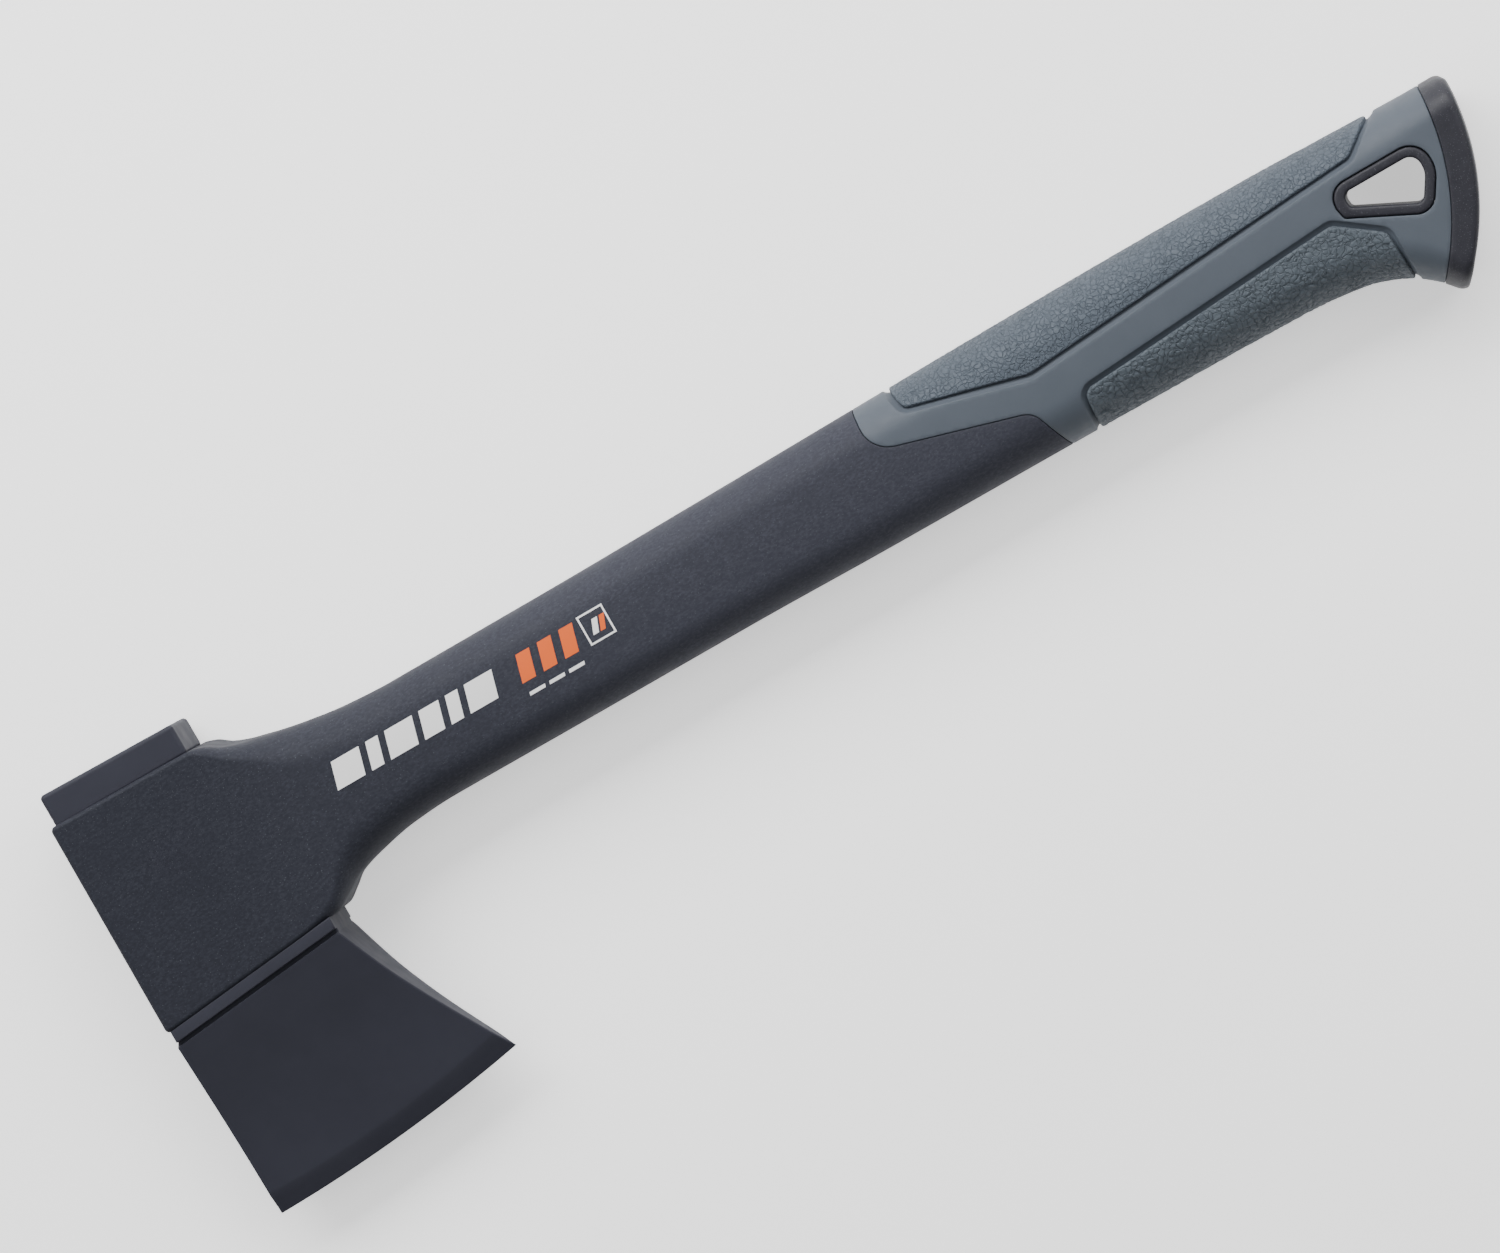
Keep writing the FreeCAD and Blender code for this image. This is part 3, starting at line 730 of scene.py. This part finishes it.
# The leather's grain: lengths in cells, and scales for each cell
GRAIN_STRETCH = 0.72          # below 1, pebbles are longer along the handle
WANDER_SCALE = 0.55
WANDER_REACH = 0.9
CREASE_WIDTH = 0.34
CREASE_POWER = 1.5            # above 1, creases narrow towards their foot
PATCH_SCALE = 0.35
PATCH_LEVEL = 0.75            # creases are deeper in some patches than in others
PATCH_SWING = 0.5
PIMPLE_SCALE = 2.3
PIMPLE_HEIGHT = 0.25
GRAIN_FADE = (0.3, 1.4)       # distances from a pad's edge between which its grain starts
WANDER_OFFSETS = (Vector((0.0, 0.0, 0.0)), Vector((31.7, 5.3, 12.1)), Vector((-7.9, 22.4, 40.6)))


def wander(place):
    """A smooth random shift, with its three parts read from different places of the same noise."""
    return Vector([noise.noise(place + offset) for offset in WANDER_OFFSETS])


def grain(points, cell):
    """Leather's relief, from 0 on the pebbles to 1 down in the creases between them."""
    result = np.empty(len(points))
    for k, (x, y, z) in enumerate(points):
        place = Vector((x * GRAIN_STRETCH, y, z)) / cell
        place = place + wander(place * WANDER_SCALE) * WANDER_REACH
        distances, _ = noise.voronoi(place)
        crease = max(1 - (distances[1] - distances[0]) / CREASE_WIDTH, 0.0)
        patch = PATCH_LEVEL + PATCH_SWING * noise.noise(place * PATCH_SCALE)
        result[k] = crease ** CREASE_POWER * patch - PIMPLE_HEIGHT * noise.noise(place * PIMPLE_SCALE)
    return result


def make_pad(outline, span, spacing, cell, depth):
    """Pad with leather's creases; gives its points, faces and how deep in a crease each point is."""
    edges = rings(outline, np.negative(PAD_AT))
    lines = [run for line in edges for run in runs_on_skin(line, spacing)]
    pad_surface = surface([(edges[0], 1, PAD_AT, PAD_LIFT)])
    points, faces, normals = shell(span, lines, *pad_surface, spacing, spacing, inner_lift=-PAD_DEPTH)
    fade = np.interp(distance_inside(edges[0], points[:, :2]), GRAIN_FADE, (0.0, 1.0))
    fade = fade * (np.abs(normals).sum(axis=1) > 0)
    points, faces = both_sides(points, faces)
    normals = np.vstack([normals, normals * np.array([1, 1, -1])])
    crease = grain(points, cell) * np.tile(fade, 2)
    return points - normals * crease[:, None] * depth, faces, crease


# ---- Hang hole's eyelet
RIM_GAP = 0.2
RIM_RECESS = 0.2
RIM_BEAD = 1.3                # height of the rim's rounded bead
RIM_SQUARENESS = 0.6
RIM_STEPS = 14
HOLE_WALL = (-8.0, -3.0)      # lifts of the points down the hole's wall
FLANGE_LIFT = -1.7            # a step out from the rim's foot that closes the gap round it
FLANGE_CLEARANCE = 0.02


def sleeve_outline(move):
    """The rim's outer outline, moved outwards."""
    plain = moved_outline(HANG_HOLE, EYELET_WALL)[:-len(POINTED_TIP)]
    return moved_outline(plain + POINTED_TIP, move)


def loop(outline, per_corner=14, per_side=12):
    """Points round an outline, with the same number at each corner and along each side."""
    coarse = 10.0
    corners = rounded(outline, coarse).reshape(len(outline), -1, 2)
    points = []
    for corner, following in zip(corners, np.roll(corners, -1, axis=0)):
        length = np.linalg.norm(np.diff(corner, axis=0), axis=1).sum()
        points.append(even(corner, length / per_corner))
        shares = np.linspace(0, 1, per_side + 1)[1:-1, None]
        points.append(corner[-1] + (following[0] - corner[-1]) * shares)
    return np.vstack(points)


def make_eyelet():
    inner = loop(HANG_HOLE)
    outer = loop(sleeve_outline(0.0))
    turn = np.linspace(math.pi, 0, RIM_STEPS + 1)
    across = 0.5 + 0.5 * np.sign(np.cos(turn)) * np.abs(np.cos(turn)) ** RIM_SQUARENESS
    depth = -RIM_RECESS - RIM_BEAD * (1 - np.abs(np.sin(turn)) ** RIM_SQUARENESS)
    flange = 1 + (RIM_GAP - FLANGE_CLEARANCE) / EYELET_WALL
    # Share of the way from the hole to the rim's outer edge, and lift from the skin, with None on
    # the mid-plane
    profile = [(0.0, None), *((0.0, lift) for lift in HOLE_WALL), *zip(across, depth)]
    profile += [(flange, FLANGE_LIFT), (flange, None)]
    rows = []
    for share, lift in profile:
        xy = inner + (outer - inner) * share
        z = np.zeros(len(xy)) if lift is None else skin_z(xy) + lift
        rows.append(np.column_stack([xy, z]))
    faces = [(face[0], *face[:0:-1]) for face in grid_faces(len(rows), len(inner), closed=True)]
    return both_sides(np.vstack(rows), faces)


# ---- Butt cap
CAP_ROUNDING = (2.2, 1.7)     # width and depth of the rounding at the cap's back
CAP_ROUNDING_STEPS = 7
CAP_PROUD = 0.15
CAP_SPAN = (420.0, PLACES[-1] - 1.0)
# Depth of the cap's surface by distance from its seam
CAP_SEAM_AT = (0.0, 0.15, 0.4)
CAP_SEAM_DEPTH = np.array([-0.35, -0.08, 0.0])


def make_cap():
    turn = np.linspace(0, QUARTER, CAP_ROUNDING_STEPS + 1)
    edge_at = CAP_ROUNDING[0] * (1 - np.cos(turn))
    edge_depth = CAP_PROUD - CAP_ROUNDING[1] * (1 - np.sin(turn))
    back, centre, radius = arc_line(CAP_BACK_ARC, count=80)

    def back_region(inset):
        line = centre + (back - centre) * (radius - inset) / radius
        top = (CAP_TOP_CORNER[0] - inset, CAP_TOP_CORNER[1])
        return np.vstack([top, line, CAP_TIP, (CAP_TIP[0], -FAR), (-FAR, -FAR), (-FAR, FAR), (top[0], FAR)])

    rear = [back_region(at) for at in edge_at]
    front = [cap_seam_region(at) for at in CAP_SEAM_AT]
    edges = [(rear[0], 1, edge_at, edge_depth), (front[0], -1, CAP_SEAM_AT, CAP_PROUD + CAP_SEAM_DEPTH)]
    lines = [run for line in rear + front for run in runs_on_skin(line, spacing=0.5)]
    _, _, faces, points, _ = sheet(CAP_SPAN, lines, *surface(edges), spacing=0.6, lattice_spacing=0.8)
    return both_sides(*walled(points, faces))


# ---- Head
TILT_ALONG = np.array([math.cos(HEAD_TILT), math.sin(HEAD_TILT)])
TILT_UP = np.array([-math.sin(HEAD_TILT), math.cos(HEAD_TILT)])
BAND = (1.9, 57.8)            # x of the steel band's front and rear ends
BLADE_FRONT = 1.25            # x of the groove's and blade's front end under the band
GROOVE_DROP = 4.5
# Steel band and the groove under it, as drop below the jacket and half thickness
BAND_PROFILE = ((-0.3, 12.5), (-0.3, 14.6), (-0.12, 14.85), (0.15, 14.95), (1.6, 14.95), (3.05, 14.95),
                (3.28, 14.85), (3.4, 14.6), (3.4, 12.95), (3.5, 12.8), (4.5, 12.8), (4.6, 12.95),
                (4.6, 13.6), (4.68, 13.85), (4.9, 13.95))
WEDGE_DROP = np.array([4.6, 16.1, 29.6, 42.6, 64.0])
WEDGE_HALF = np.array([[14.0], [10.9], [7.4], [4.7], [1.4]])
TOE = np.array([0.3, -96.6])
HEEL = np.array([83.0, -88.1])
FRONT_LINE = ((1.2, -41.2), (0.3, -96.6))
REAR_Y = np.array([35.0, 51.0, 64.0, 88.1])
REAR_X = np.array([[57.8], [63.9], [70.0], [83.0]])
EDGE_RADIUS = 490.0
EDGE_HALF = 0.15
BEVEL_SLOPE = math.tan(math.radians(24.0))
CORNER = 0.55                 # rounding of the blade's front and rear corners
THIN_CORNER = 0.8             # most of a corner's half thickness that its rounding takes
CHEEK_ROWS = 43
BEVEL_ROWS = (0.33, 0.67, 1.0)          # shares of the way down the bevel
ROW_POINTS = 41
CORNER_COLUMNS = 5
SIDE_COLUMNS = 39
SIDE_MARGIN = 1.0
# Front and rear x, low y, front and rear top y, half thickness and rounding
WEB = ((5.0, 46.0), -37.0, (31.0, 31.0), 7.8, 2.0)
POLL = ((2.7, 46.0), 29.6, (40.0, 39.1), 12.7, 1.3)


def below_jacket(x, drop):
    """The point at x that lies a drop below the jacket's underside."""
    return np.array([x, SHOULDER_Y + (x * TILT_ALONG[1] - drop) / TILT_ALONG[0]])


def drop_of(xy):
    """How far points lie below the jacket's underside."""
    return -((xy - np.array([0, SHOULDER_Y])) @ TILT_UP)


def wedge_half(drop):
    """The wedge's half thickness at a drop below the jacket."""
    return smooth_curve(WEDGE_DROP, WEDGE_HALF, np.asarray(drop, float))[:, 0]


def blade_rows():
    """Each row of points down the blade's side, with the bevel's rows giving their half thickness."""
    u = np.linspace(0, 1, ROW_POINTS)
    chord = HEEL - TOE
    inward = np.array([-chord[1], chord[0]]) / np.linalg.norm(chord)
    sag = EDGE_RADIUS - math.sqrt(EDGE_RADIUS ** 2 - (chord @ chord) / 4)
    edge, centre, _ = arc_line((TOE, (TOE + HEEL) / 2 - inward * sag, HEEL), ROW_POINTS)
    radial = (centre - edge) / EDGE_RADIUS
    front_way = np.array(FRONT_LINE[0]) - np.array(FRONT_LINE[1])
    rear_way = np.array([REAR_X[2, 0] - REAR_X[3, 0], REAR_Y[3] - REAR_Y[2]])
    front_way = front_way / np.linalg.norm(front_way)
    rear_way = rear_way / np.linalg.norm(rear_way)
    way = front_way * (1 - u[:, None]) + rear_way * u[:, None]
    way = way / np.sum(way * radial, axis=1)[:, None]
    first_guess, rounds = 4.0, 12
    bevel = np.full(len(u), first_guess)
    for _ in range(rounds):
        line = edge + way * bevel[:, None]
        bevel = (wedge_half(drop_of(line)) - EDGE_HALF) / BEVEL_SLOPE
    line = edge + way * bevel[:, None]
    top_front, top_rear = (below_jacket(x, BAND_PROFILE[-1][0]) for x in (BLADE_FRONT, BAND[1]))
    top = top_front + (top_rear - top_front) * u[:, None]
    rows = []
    for w in np.linspace(0, 1, CHEEK_ROWS + 1)[1:]:
        row = top + (line - top) * w
        rear_x = smooth_curve(REAR_Y, REAR_X, np.array([-row[-1][1]]))[0, 0]
        rows.append((row + np.array([rear_x - row[-1][0], 0]) * u[:, None], None))
    for w in BEVEL_ROWS:
        rows.append((line + (edge - line) * w, EDGE_HALF + bevel * (1 - w) * BEVEL_SLOPE))
    return rows


def row_with_corners(row, half):
    """A row of points with its half thickness, rounded off at both ends."""
    gaps = np.concatenate([[0], np.cumsum(np.linalg.norm(np.diff(row, axis=0), axis=1))])
    length = gaps[-1]
    radius = min(CORNER, half[0] * THIN_CORNER, half[-1] * THIN_CORNER)
    turn = np.linspace(0, QUARTER, CORNER_COLUMNS)
    near_end = radius * (1 - np.cos(turn))
    end_drop = radius * (1 - np.sin(turn))
    start = near_end[-1] + SIDE_MARGIN
    side = np.linspace(start, length - near_end[-1] - SIDE_MARGIN, SIDE_COLUMNS)
    marks = np.concatenate([near_end, side, length - near_end[::-1]])
    drop = np.concatenate([end_drop, np.zeros(SIDE_COLUMNS), end_drop[::-1]])
    xy = np.stack([np.interp(marks, gaps, row[:, k]) for k in range(2)], 1)
    return np.column_stack([xy, np.interp(marks, gaps, half) - drop])


def make_head():
    grid = []
    for drop, half in BAND_PROFILE:
        front = below_jacket(BAND[0] if drop < GROOVE_DROP else BLADE_FRONT, drop)
        row = front + (below_jacket(BAND[1], drop) - front) * np.linspace(0, 1, ROW_POINTS)[:, None]
        grid.append(row_with_corners(row, np.full(len(row), half)))
    for row, half in blade_rows():
        grid.append(row_with_corners(row, wedge_half(drop_of(row)) if half is None else half))
    grid = np.array(grid)[::-1]
    faces = [face[::-1] for face in grid_faces(*grid.shape[:2])]
    blade = both_sides(*walled(grid.reshape(-1, 3), faces))
    return joined(blade, block(*WEB), block(*POLL))


def block(ends, low, top, half, rounding):
    """Box with its top sloping from front to rear and its edges rounded."""
    work = bmesh.new()
    bmesh.ops.create_cube(work, size=2)
    for vert in work.verts:
        rear = vert.co.x > 0
        vert.co.x = ends[rear]
        vert.co.y = top[rear] if vert.co.y > 0 else low
        vert.co.z = vert.co.z * half
    bmesh.ops.bevel(work, geom=list(work.edges), offset=rounding, segments=5, profile=0.5, affect="EDGES")
    return mesh_lists(work)


# ---- Plain printed marks on the near side
PRINT_LIFT = 0.04
PRINT_SINK = 0.3
SLANT = 0.28                  # how far the marks lean forward for each millimetre of height
MARK_CELL = (1.5, 1.2)        # width and height of a mark's faces
BIG_BARS = (-0.6, 7.4)        # low and high y
WHITE_START = 78.0
WHITE_WIDTHS = (9.0, 4.0, 9.0, 6.5, 4.0, 9.0)
WHITE_GAP = 2.2
DASH_STARTS = (138.6, 145.0, 151.4)
DASH_WIDTH = 5.0
DASH_BARS = (-4.6, -3.6)
ORANGE_STARTS = (138.4, 145.4, 152.4)
ORANGE_WIDTH = 4.4
SQUARE = (160.6, 168.9, -1.1, 7.9)      # left, right, low and high
SQUARE_LINE = 0.55
SQUARE_JOINT = 0.57
WHITE_STROKE = (162.6, 164.4, 1.2, 5.4, 0.4)
ORANGE_STROKE = (165.0, 166.6, 1.2, 5.4, 0.4)


def mark(x_from, x_to, y_from, y_to, slant=SLANT):
    """Thin leaning bar that follows the shaft's side."""
    across = max(int((x_to - x_from) / MARK_CELL[0]), 1) + 1
    upward = max(int((y_to - y_from) / MARK_CELL[1]), 1) + 1
    xy = np.array([(x + slant * (y - y_from), y) for y in np.linspace(y_from, y_to, upward)
                   for x in np.linspace(x_from, x_to, across)])
    count = len(xy)
    z = skin_z(xy)
    points = np.vstack([np.column_stack([xy, z + PRINT_LIFT]), np.column_stack([xy, z - PRINT_SINK])])
    top = [face[::-1] for face in grid_faces(upward, across)]
    low = [tuple(count + i for i in face[::-1]) for face in top]
    walls = [(b, a, count + a, count + b) for a, b in border_of(top)]
    return points, top + low + walls


def make_white_marks():
    bars = []
    x = WHITE_START
    for width in WHITE_WIDTHS:
        bars.append(mark(x, x + width, *BIG_BARS))
        x += width + WHITE_GAP
    bars += [mark(x, x + DASH_WIDTH, *DASH_BARS) for x in DASH_STARTS]
    left, right, low, high = SQUARE
    bars += [mark(left, right, y, y + SQUARE_LINE, 0) for y in (low, high - SQUARE_LINE)]
    bars += [mark(x, x + SQUARE_LINE, low + SQUARE_JOINT, high - SQUARE_JOINT, 0)
             for x in (left, right - SQUARE_LINE)]
    return joined(*bars, mark(*WHITE_STROKE))


def make_orange_marks():
    bars = [mark(x, x + ORANGE_WIDTH, *BIG_BARS) for x in ORANGE_STARTS]
    return joined(*bars, mark(*ORANGE_STROKE))


# ---- Materials
# Sockets of a Mix node for colours
FIRST_COLOUR = 6
SECOND_COLOUR = 7
MIXED_COLOUR = 2
# Creases drawn in a material: lengths in cells, and width as a distance from a cell's edge
DRAWN_WANDER_SIZE = 1.6
DRAWN_WANDER_REACH = 1.5
DRAWN_CREASE_WIDTH = 0.13


class Shader:
    """A procedural material built from object-space noise, with sizes in millimetres."""

    def __init__(self, name, colour, roughness, specular):
        self.material = bpy.data.materials.new(name)
        self.material.use_nodes = True
        self.tree = self.material.node_tree
        self.bsdf = self.tree.nodes["Principled BSDF"]
        for socket, value in (("Base Color", (*colour, 1.0)), ("Roughness", roughness),
                              ("Specular IOR Level", specular)):
            self.bsdf.inputs[socket].default_value = value
        self.coordinates = self.tree.nodes.new("ShaderNodeTexCoord").outputs["Object"]

    def node(self, kind, output, inputs, **settings):
        """The output of a new node, with its settings made and its inputs linked or set."""
        node = self.tree.nodes.new("ShaderNode" + kind)
        for setting, value in settings.items():
            setattr(node, setting, value)
        for socket, value in inputs.items():
            if isinstance(value, bpy.types.NodeSocket):
                self.tree.links.new(value, node.inputs[socket])
            else:
                node.inputs[socket].default_value = value
        return node.outputs[output]

    def noise(self, size, detail=3.0, rough=0.5, stretch=(1.0, 1.0, 1.0)):
        """Cloudy noise from 0 to 1, with clouds of about the given size."""
        place = self.node("VectorMath", "Vector", {0: self.coordinates, 1: stretch}, operation="MULTIPLY")
        return self.node("TexNoise", "Fac", {"Vector": place, "Scale": 1 / (size * MM), "Detail": detail,
                                             "Roughness": rough})

    def remap(self, value, low, high, to_low, to_high):
        """The value carried from one range to another, and held at the range's ends."""
        return self.node("MapRange", "Result", {"Value": value, "From Min": low, "From Max": high,
                                                "To Min": to_low, "To Max": to_high})

    def combine(self, operation, first, second):
        return self.node("Math", "Value", {0: first, 1: second}, operation=operation)

    def colour_between(self, factor, first, second):
        inputs = {0: factor}
        for socket, colour in ((FIRST_COLOUR, first), (SECOND_COLOUR, second)):
            inputs[socket] = (*colour, 1.0) if isinstance(colour, tuple) else colour
        return self.node("Mix", MIXED_COLOUR, inputs, data_type="RGBA")

    def along(self, start, end):
        """How far along the axe a point lies, from 0 at the start to 1 at the end, in metres."""
        x = self.node("SeparateXYZ", "X", {"Vector": self.coordinates})
        return self.remap(x, start, end, 0.0, 1.0)

    def creases(self, cell):
        """Wandering creases between cells: 1 along a crease and 0 on the pebbles."""
        scale = 1 / (cell * DRAWN_WANDER_SIZE * MM)
        wander = self.node("TexNoise", "Color", {"Vector": self.coordinates, "Scale": scale})
        reach = (cell * DRAWN_WANDER_REACH * MM,) * 3
        place = self.node("VectorMath", "Vector", {0: wander, 1: reach, 2: self.coordinates},
                          operation="MULTIPLY_ADD")
        cells = self.node("TexVoronoi", "Distance", {"Vector": place, "Scale": 1 / (cell * MM)},
                          feature="DISTANCE_TO_EDGE")
        return self.remap(cells, 0.0, DRAWN_CREASE_WIDTH, 1.0, 0.0)

    def finish(self, height, distance, tone=None, roughness=None):
        """The material, with its bump and, where they vary, its colour and roughness."""
        normal = self.node("Bump", "Normal", {"Height": height, "Distance": distance * MM, "Strength": 1.0})
        for output, socket in ((normal, "Normal"), (tone, "Base Color"), (roughness, "Roughness")):
            if output:
                self.tree.links.new(output, self.bsdf.inputs[socket])
        return self.material


def coated_steel():
    shader = Shader("coated_steel", (0.028, 0.029, 0.040), 0.56, 0.12)
    tone = shader.colour_between(shader.noise(14.0), (0.0262, 0.0270, 0.0370), (0.0330, 0.0342, 0.0460))
    roughness = shader.remap(shader.noise(6.0, 4.0), 0.3, 0.7, 0.52, 0.62)
    return shader.finish(shader.noise(0.55, 2.0), 0.012, tone, roughness)


def fibre_nylon():
    """Matt all over; darker where it is moulded square round the head and lighter along the shaft, a
    painted gradient of light that stands in for light falling more towards the butt.
    """
    shader = Shader("fibre_nylon", (0.025, 0.027, 0.037), 0.62, 0.12)
    cloud = shader.noise(7.0, 4.0, 0.6)
    fibres = shader.noise(0.7, 3.0, 0.6, (0.6, 1.0, 1.0))
    mottle = shader.combine("MULTIPLY", shader.remap(fibres, 0.40, 0.75, 0.0, 1.0),
                            shader.remap(cloud, 0.35, 0.65, 0.5, 1.0))
    jacket = shader.colour_between(mottle, (0.0182, 0.0196, 0.0272), (0.0300, 0.0322, 0.0432))
    shaft = shader.colour_between(mottle, (0.0315, 0.0330, 0.0440), (0.0485, 0.0505, 0.0660))
    # Painted light: the shaft's tone is lighter than the jacket's, a gradient along the handle that stands
    # in for the light falling more towards the butt.
    tone = shader.colour_between(shader.along(-0.190, -0.050), jacket, shaft)
    specks = shader.remap(shader.noise(0.45, 1.0), 0.69, 0.74, 0.0, 0.7)
    tone = shader.colour_between(specks, tone, (0.065, 0.070, 0.083))
    roughness = shader.remap(cloud, 0.3, 0.7, 0.54, 0.68)
    return shader.finish(shader.noise(0.8, 3.0, 0.6), 0.045, tone, roughness)


def grip_smooth():
    shader = Shader("grip_smooth", (0.070, 0.085, 0.104), 0.55, 0.3)
    tone = shader.colour_between(shader.noise(9.0), (0.0585, 0.0700, 0.0870), (0.0690, 0.0820, 0.1010))
    roughness = shader.remap(shader.noise(2.5), 0.3, 0.7, 0.5, 0.62)
    return shader.finish(shader.noise(0.6, 2.0), 0.015, tone, roughness)


def leather(name, low, high, cell):
    """Creased leather: creases modelled in the pad, with finer ones of the given cell size drawn here, and
    both painted darker as shade in the creases.
    """
    shader = Shader(name, high, 0.6, 0.3)
    modelled = shader.node("Attribute", "Fac", {}, attribute_name="crease")
    fine = shader.creases(cell)
    depth = shader.combine("ADD", shader.combine("MULTIPLY", modelled, 0.55),
                           shader.combine("MULTIPLY", fine, 0.45))
    # Painted shade: the colour goes from the high one on the pebbles to the low one down in the creases.
    tone = shader.colour_between(depth, high, low)
    roughness = shader.remap(depth, 0.0, 0.8, 0.54, 0.75)
    pebble = shader.combine("MULTIPLY", shader.noise(0.4, 2.0), 0.4)
    return shader.finish(shader.combine("SUBTRACT", pebble, fine), 0.16, tone, roughness)


def hard_trim():
    shader = Shader("hard_trim", (0.022, 0.022, 0.029), 0.44, 0.25)
    cloud = shader.noise(4.0, 4.0, 0.6)
    tone = shader.colour_between(cloud, (0.0172, 0.0173, 0.0228), (0.0280, 0.0282, 0.0362))
    # Painted glints: sparse lighter specks stand in for the sparkle of the plastic.
    painted_glint = shader.remap(shader.noise(0.35, 1.0), 0.66, 0.72, 0.0, 0.8)
    tone = shader.colour_between(painted_glint, tone, (0.075, 0.075, 0.088))
    roughness = shader.remap(shader.noise(2.0), 0.3, 0.7, 0.40, 0.52)
    return shader.finish(shader.noise(0.6), 0.03, tone, roughness)


def printed(name, colour):
    shader = Shader(name, colour, 0.5, 0.3)
    return shader.finish(shader.noise(0.8), 0.02)


# ---- Building the pieces
STEEL = coated_steel()
NYLON = fibre_nylon()
SMOOTH_GRIP = grip_smooth()
TRIM = hard_trim()
# Each leather's low colour is painted shade in its creases.
BACK_LEATHER = leather("grip_textured", (0.042, 0.053, 0.067), (0.064, 0.080, 0.101), 1.5)
BELLY_LEATHER = leather("grip_textured_belly", (0.034, 0.043, 0.053), (0.074, 0.090, 0.107), 1.7)
# Piece, node, outline, stretch along the handle, spacing, size of the leather's cells, depth, material
PADS = (("back_pad", "grip_pad_back", BACK_PAD, (255.0, 436.0), 0.4, 1.5, 0.18, BACK_LEATHER),
        ("belly_pad", "grip_pad_belly", BELLY_PAD, (300.0, 425.0), 0.36, 1.7, 0.26, BELLY_LEATHER))

make_object("forged_head", *make_head(), STEEL, "coated_steel", "axe_head", weighted=True)
make_object("jacket_and_shaft", *make_shaft(), NYLON, "fibre_nylon", "handle_shaft", weighted=True)
make_object("smooth_grip", *make_frame(), SMOOTH_GRIP, "grip_smooth", "grip_frame")
for name, node, outline, span, spacing, cell, depth, material in PADS:
    pad_points, pad_faces, pad_crease = make_pad(outline, span, spacing, cell, depth)
    make_object(name, pad_points, pad_faces, material, "grip_textured", node, crease=pad_crease)
make_object("hang_hole_rim", *make_eyelet(), TRIM, "hard_trim", "hang_hole_eyelet")
make_object("butt_cap_shell", *make_cap(), TRIM, "hard_trim", "butt_cap")
for name, marks, colour in (("white_print", make_white_marks(), (0.80, 0.80, 0.80)),
                            ("orange_print", make_orange_marks(), (0.72, 0.12, 0.02))):
    make_object(name, *marks, printed(name, colour), "fibre_nylon")


# ---- Floor, light and camera, metres
FLOOR_REACH = 4.0
FLOOR_GLOW = 0.8              # the floor is a lit white table
FLOOR_DROP = 0.0001           # keeps the axe's flat side out of the floor's plane
WORLD_LIGHT = 0.28
# Name, place, width and height, power; each faces the origin
SOFTBOXES = (("upper_softbox", (0.0, 0.97, 0.76), (1.8, 0.7), 33.0),
             ("right_softbox", (1.25, 0.35, 0.9), (0.8, 1.4), 10.0),
             ("left_softbox", (-1.2, 0.2, 1.3), (0.8, 1.4), 5.0))
CAMERA_PLACE = Vector((0.2461, 0.0517, 2.1655))
CAMERA_TARGET = Vector((-0.0219, 0.0097, 0.0155))
CAMERA_ROLL = math.radians(30)          # from the handle's direction
CAMERA_LENS = 185.47
CAMERA_SENSOR = 36.0


def make_floor():
    mesh = bpy.data.meshes.new("floor")
    corners = [(x * FLOOR_REACH, y * FLOOR_REACH, 0) for x, y in ((-1, -1), (1, -1), (1, 1), (-1, 1))]
    mesh.from_pydata(corners, [], [(0, 1, 2, 3)])
    floor = bpy.data.objects.new("floor", mesh)
    floor.location.z = -FLOOR_DROP
    bpy.context.scene.collection.objects.link(floor)
    shader = Shader("floor_paper", (0.92, 0.92, 0.92), 0.9, 0.0)
    shader.bsdf.inputs["Emission Color"].default_value = (1.0, 1.0, 1.0, 1.0)
    shader.bsdf.inputs["Emission Strength"].default_value = FLOOR_GLOW
    mesh.materials.append(shader.material)


def make_softbox(name, place, size, power):
    light = bpy.data.lights.new(name, "AREA")
    light.shape = "RECTANGLE"
    light.size, light.size_y = size
    light.energy = power
    lamp = bpy.data.objects.new(name, light)
    lamp.location = place
    lamp.rotation_euler = (-Vector(place)).to_track_quat("-Z", "Y").to_euler()
    bpy.context.scene.collection.objects.link(lamp)


def make_camera():
    forward = (CAMERA_TARGET - CAMERA_PLACE).normalized()
    along = Vector((1, 0, 0))
    along = (along - forward * along.dot(forward)).normalized()
    across = forward.cross(along).normalized()
    right = along * math.cos(CAMERA_ROLL) + across * math.sin(CAMERA_ROLL)
    up = right.cross(forward).normalized()
    camera = bpy.data.cameras.new("camera")
    camera.lens = CAMERA_LENS
    camera.sensor_width = CAMERA_SENSOR
    eye = bpy.data.objects.new("camera", camera)
    rotation = Matrix((right, up, -forward)).transposed()
    eye.matrix_world = Matrix.Translation(CAMERA_PLACE) @ rotation.to_4x4()
    bpy.context.scene.collection.objects.link(eye)
    bpy.context.scene.camera = eye


make_floor()
make_camera()
world = bpy.data.worlds.new("studio")
bpy.context.scene.world = world
world.use_nodes = True
world.node_tree.nodes["Background"].inputs["Color"].default_value = (1.0, 1.0, 1.0, 1.0)
world.node_tree.nodes["Background"].inputs["Strength"].default_value = WORLD_LIGHT
for softbox in SOFTBOXES:
    make_softbox(*softbox)
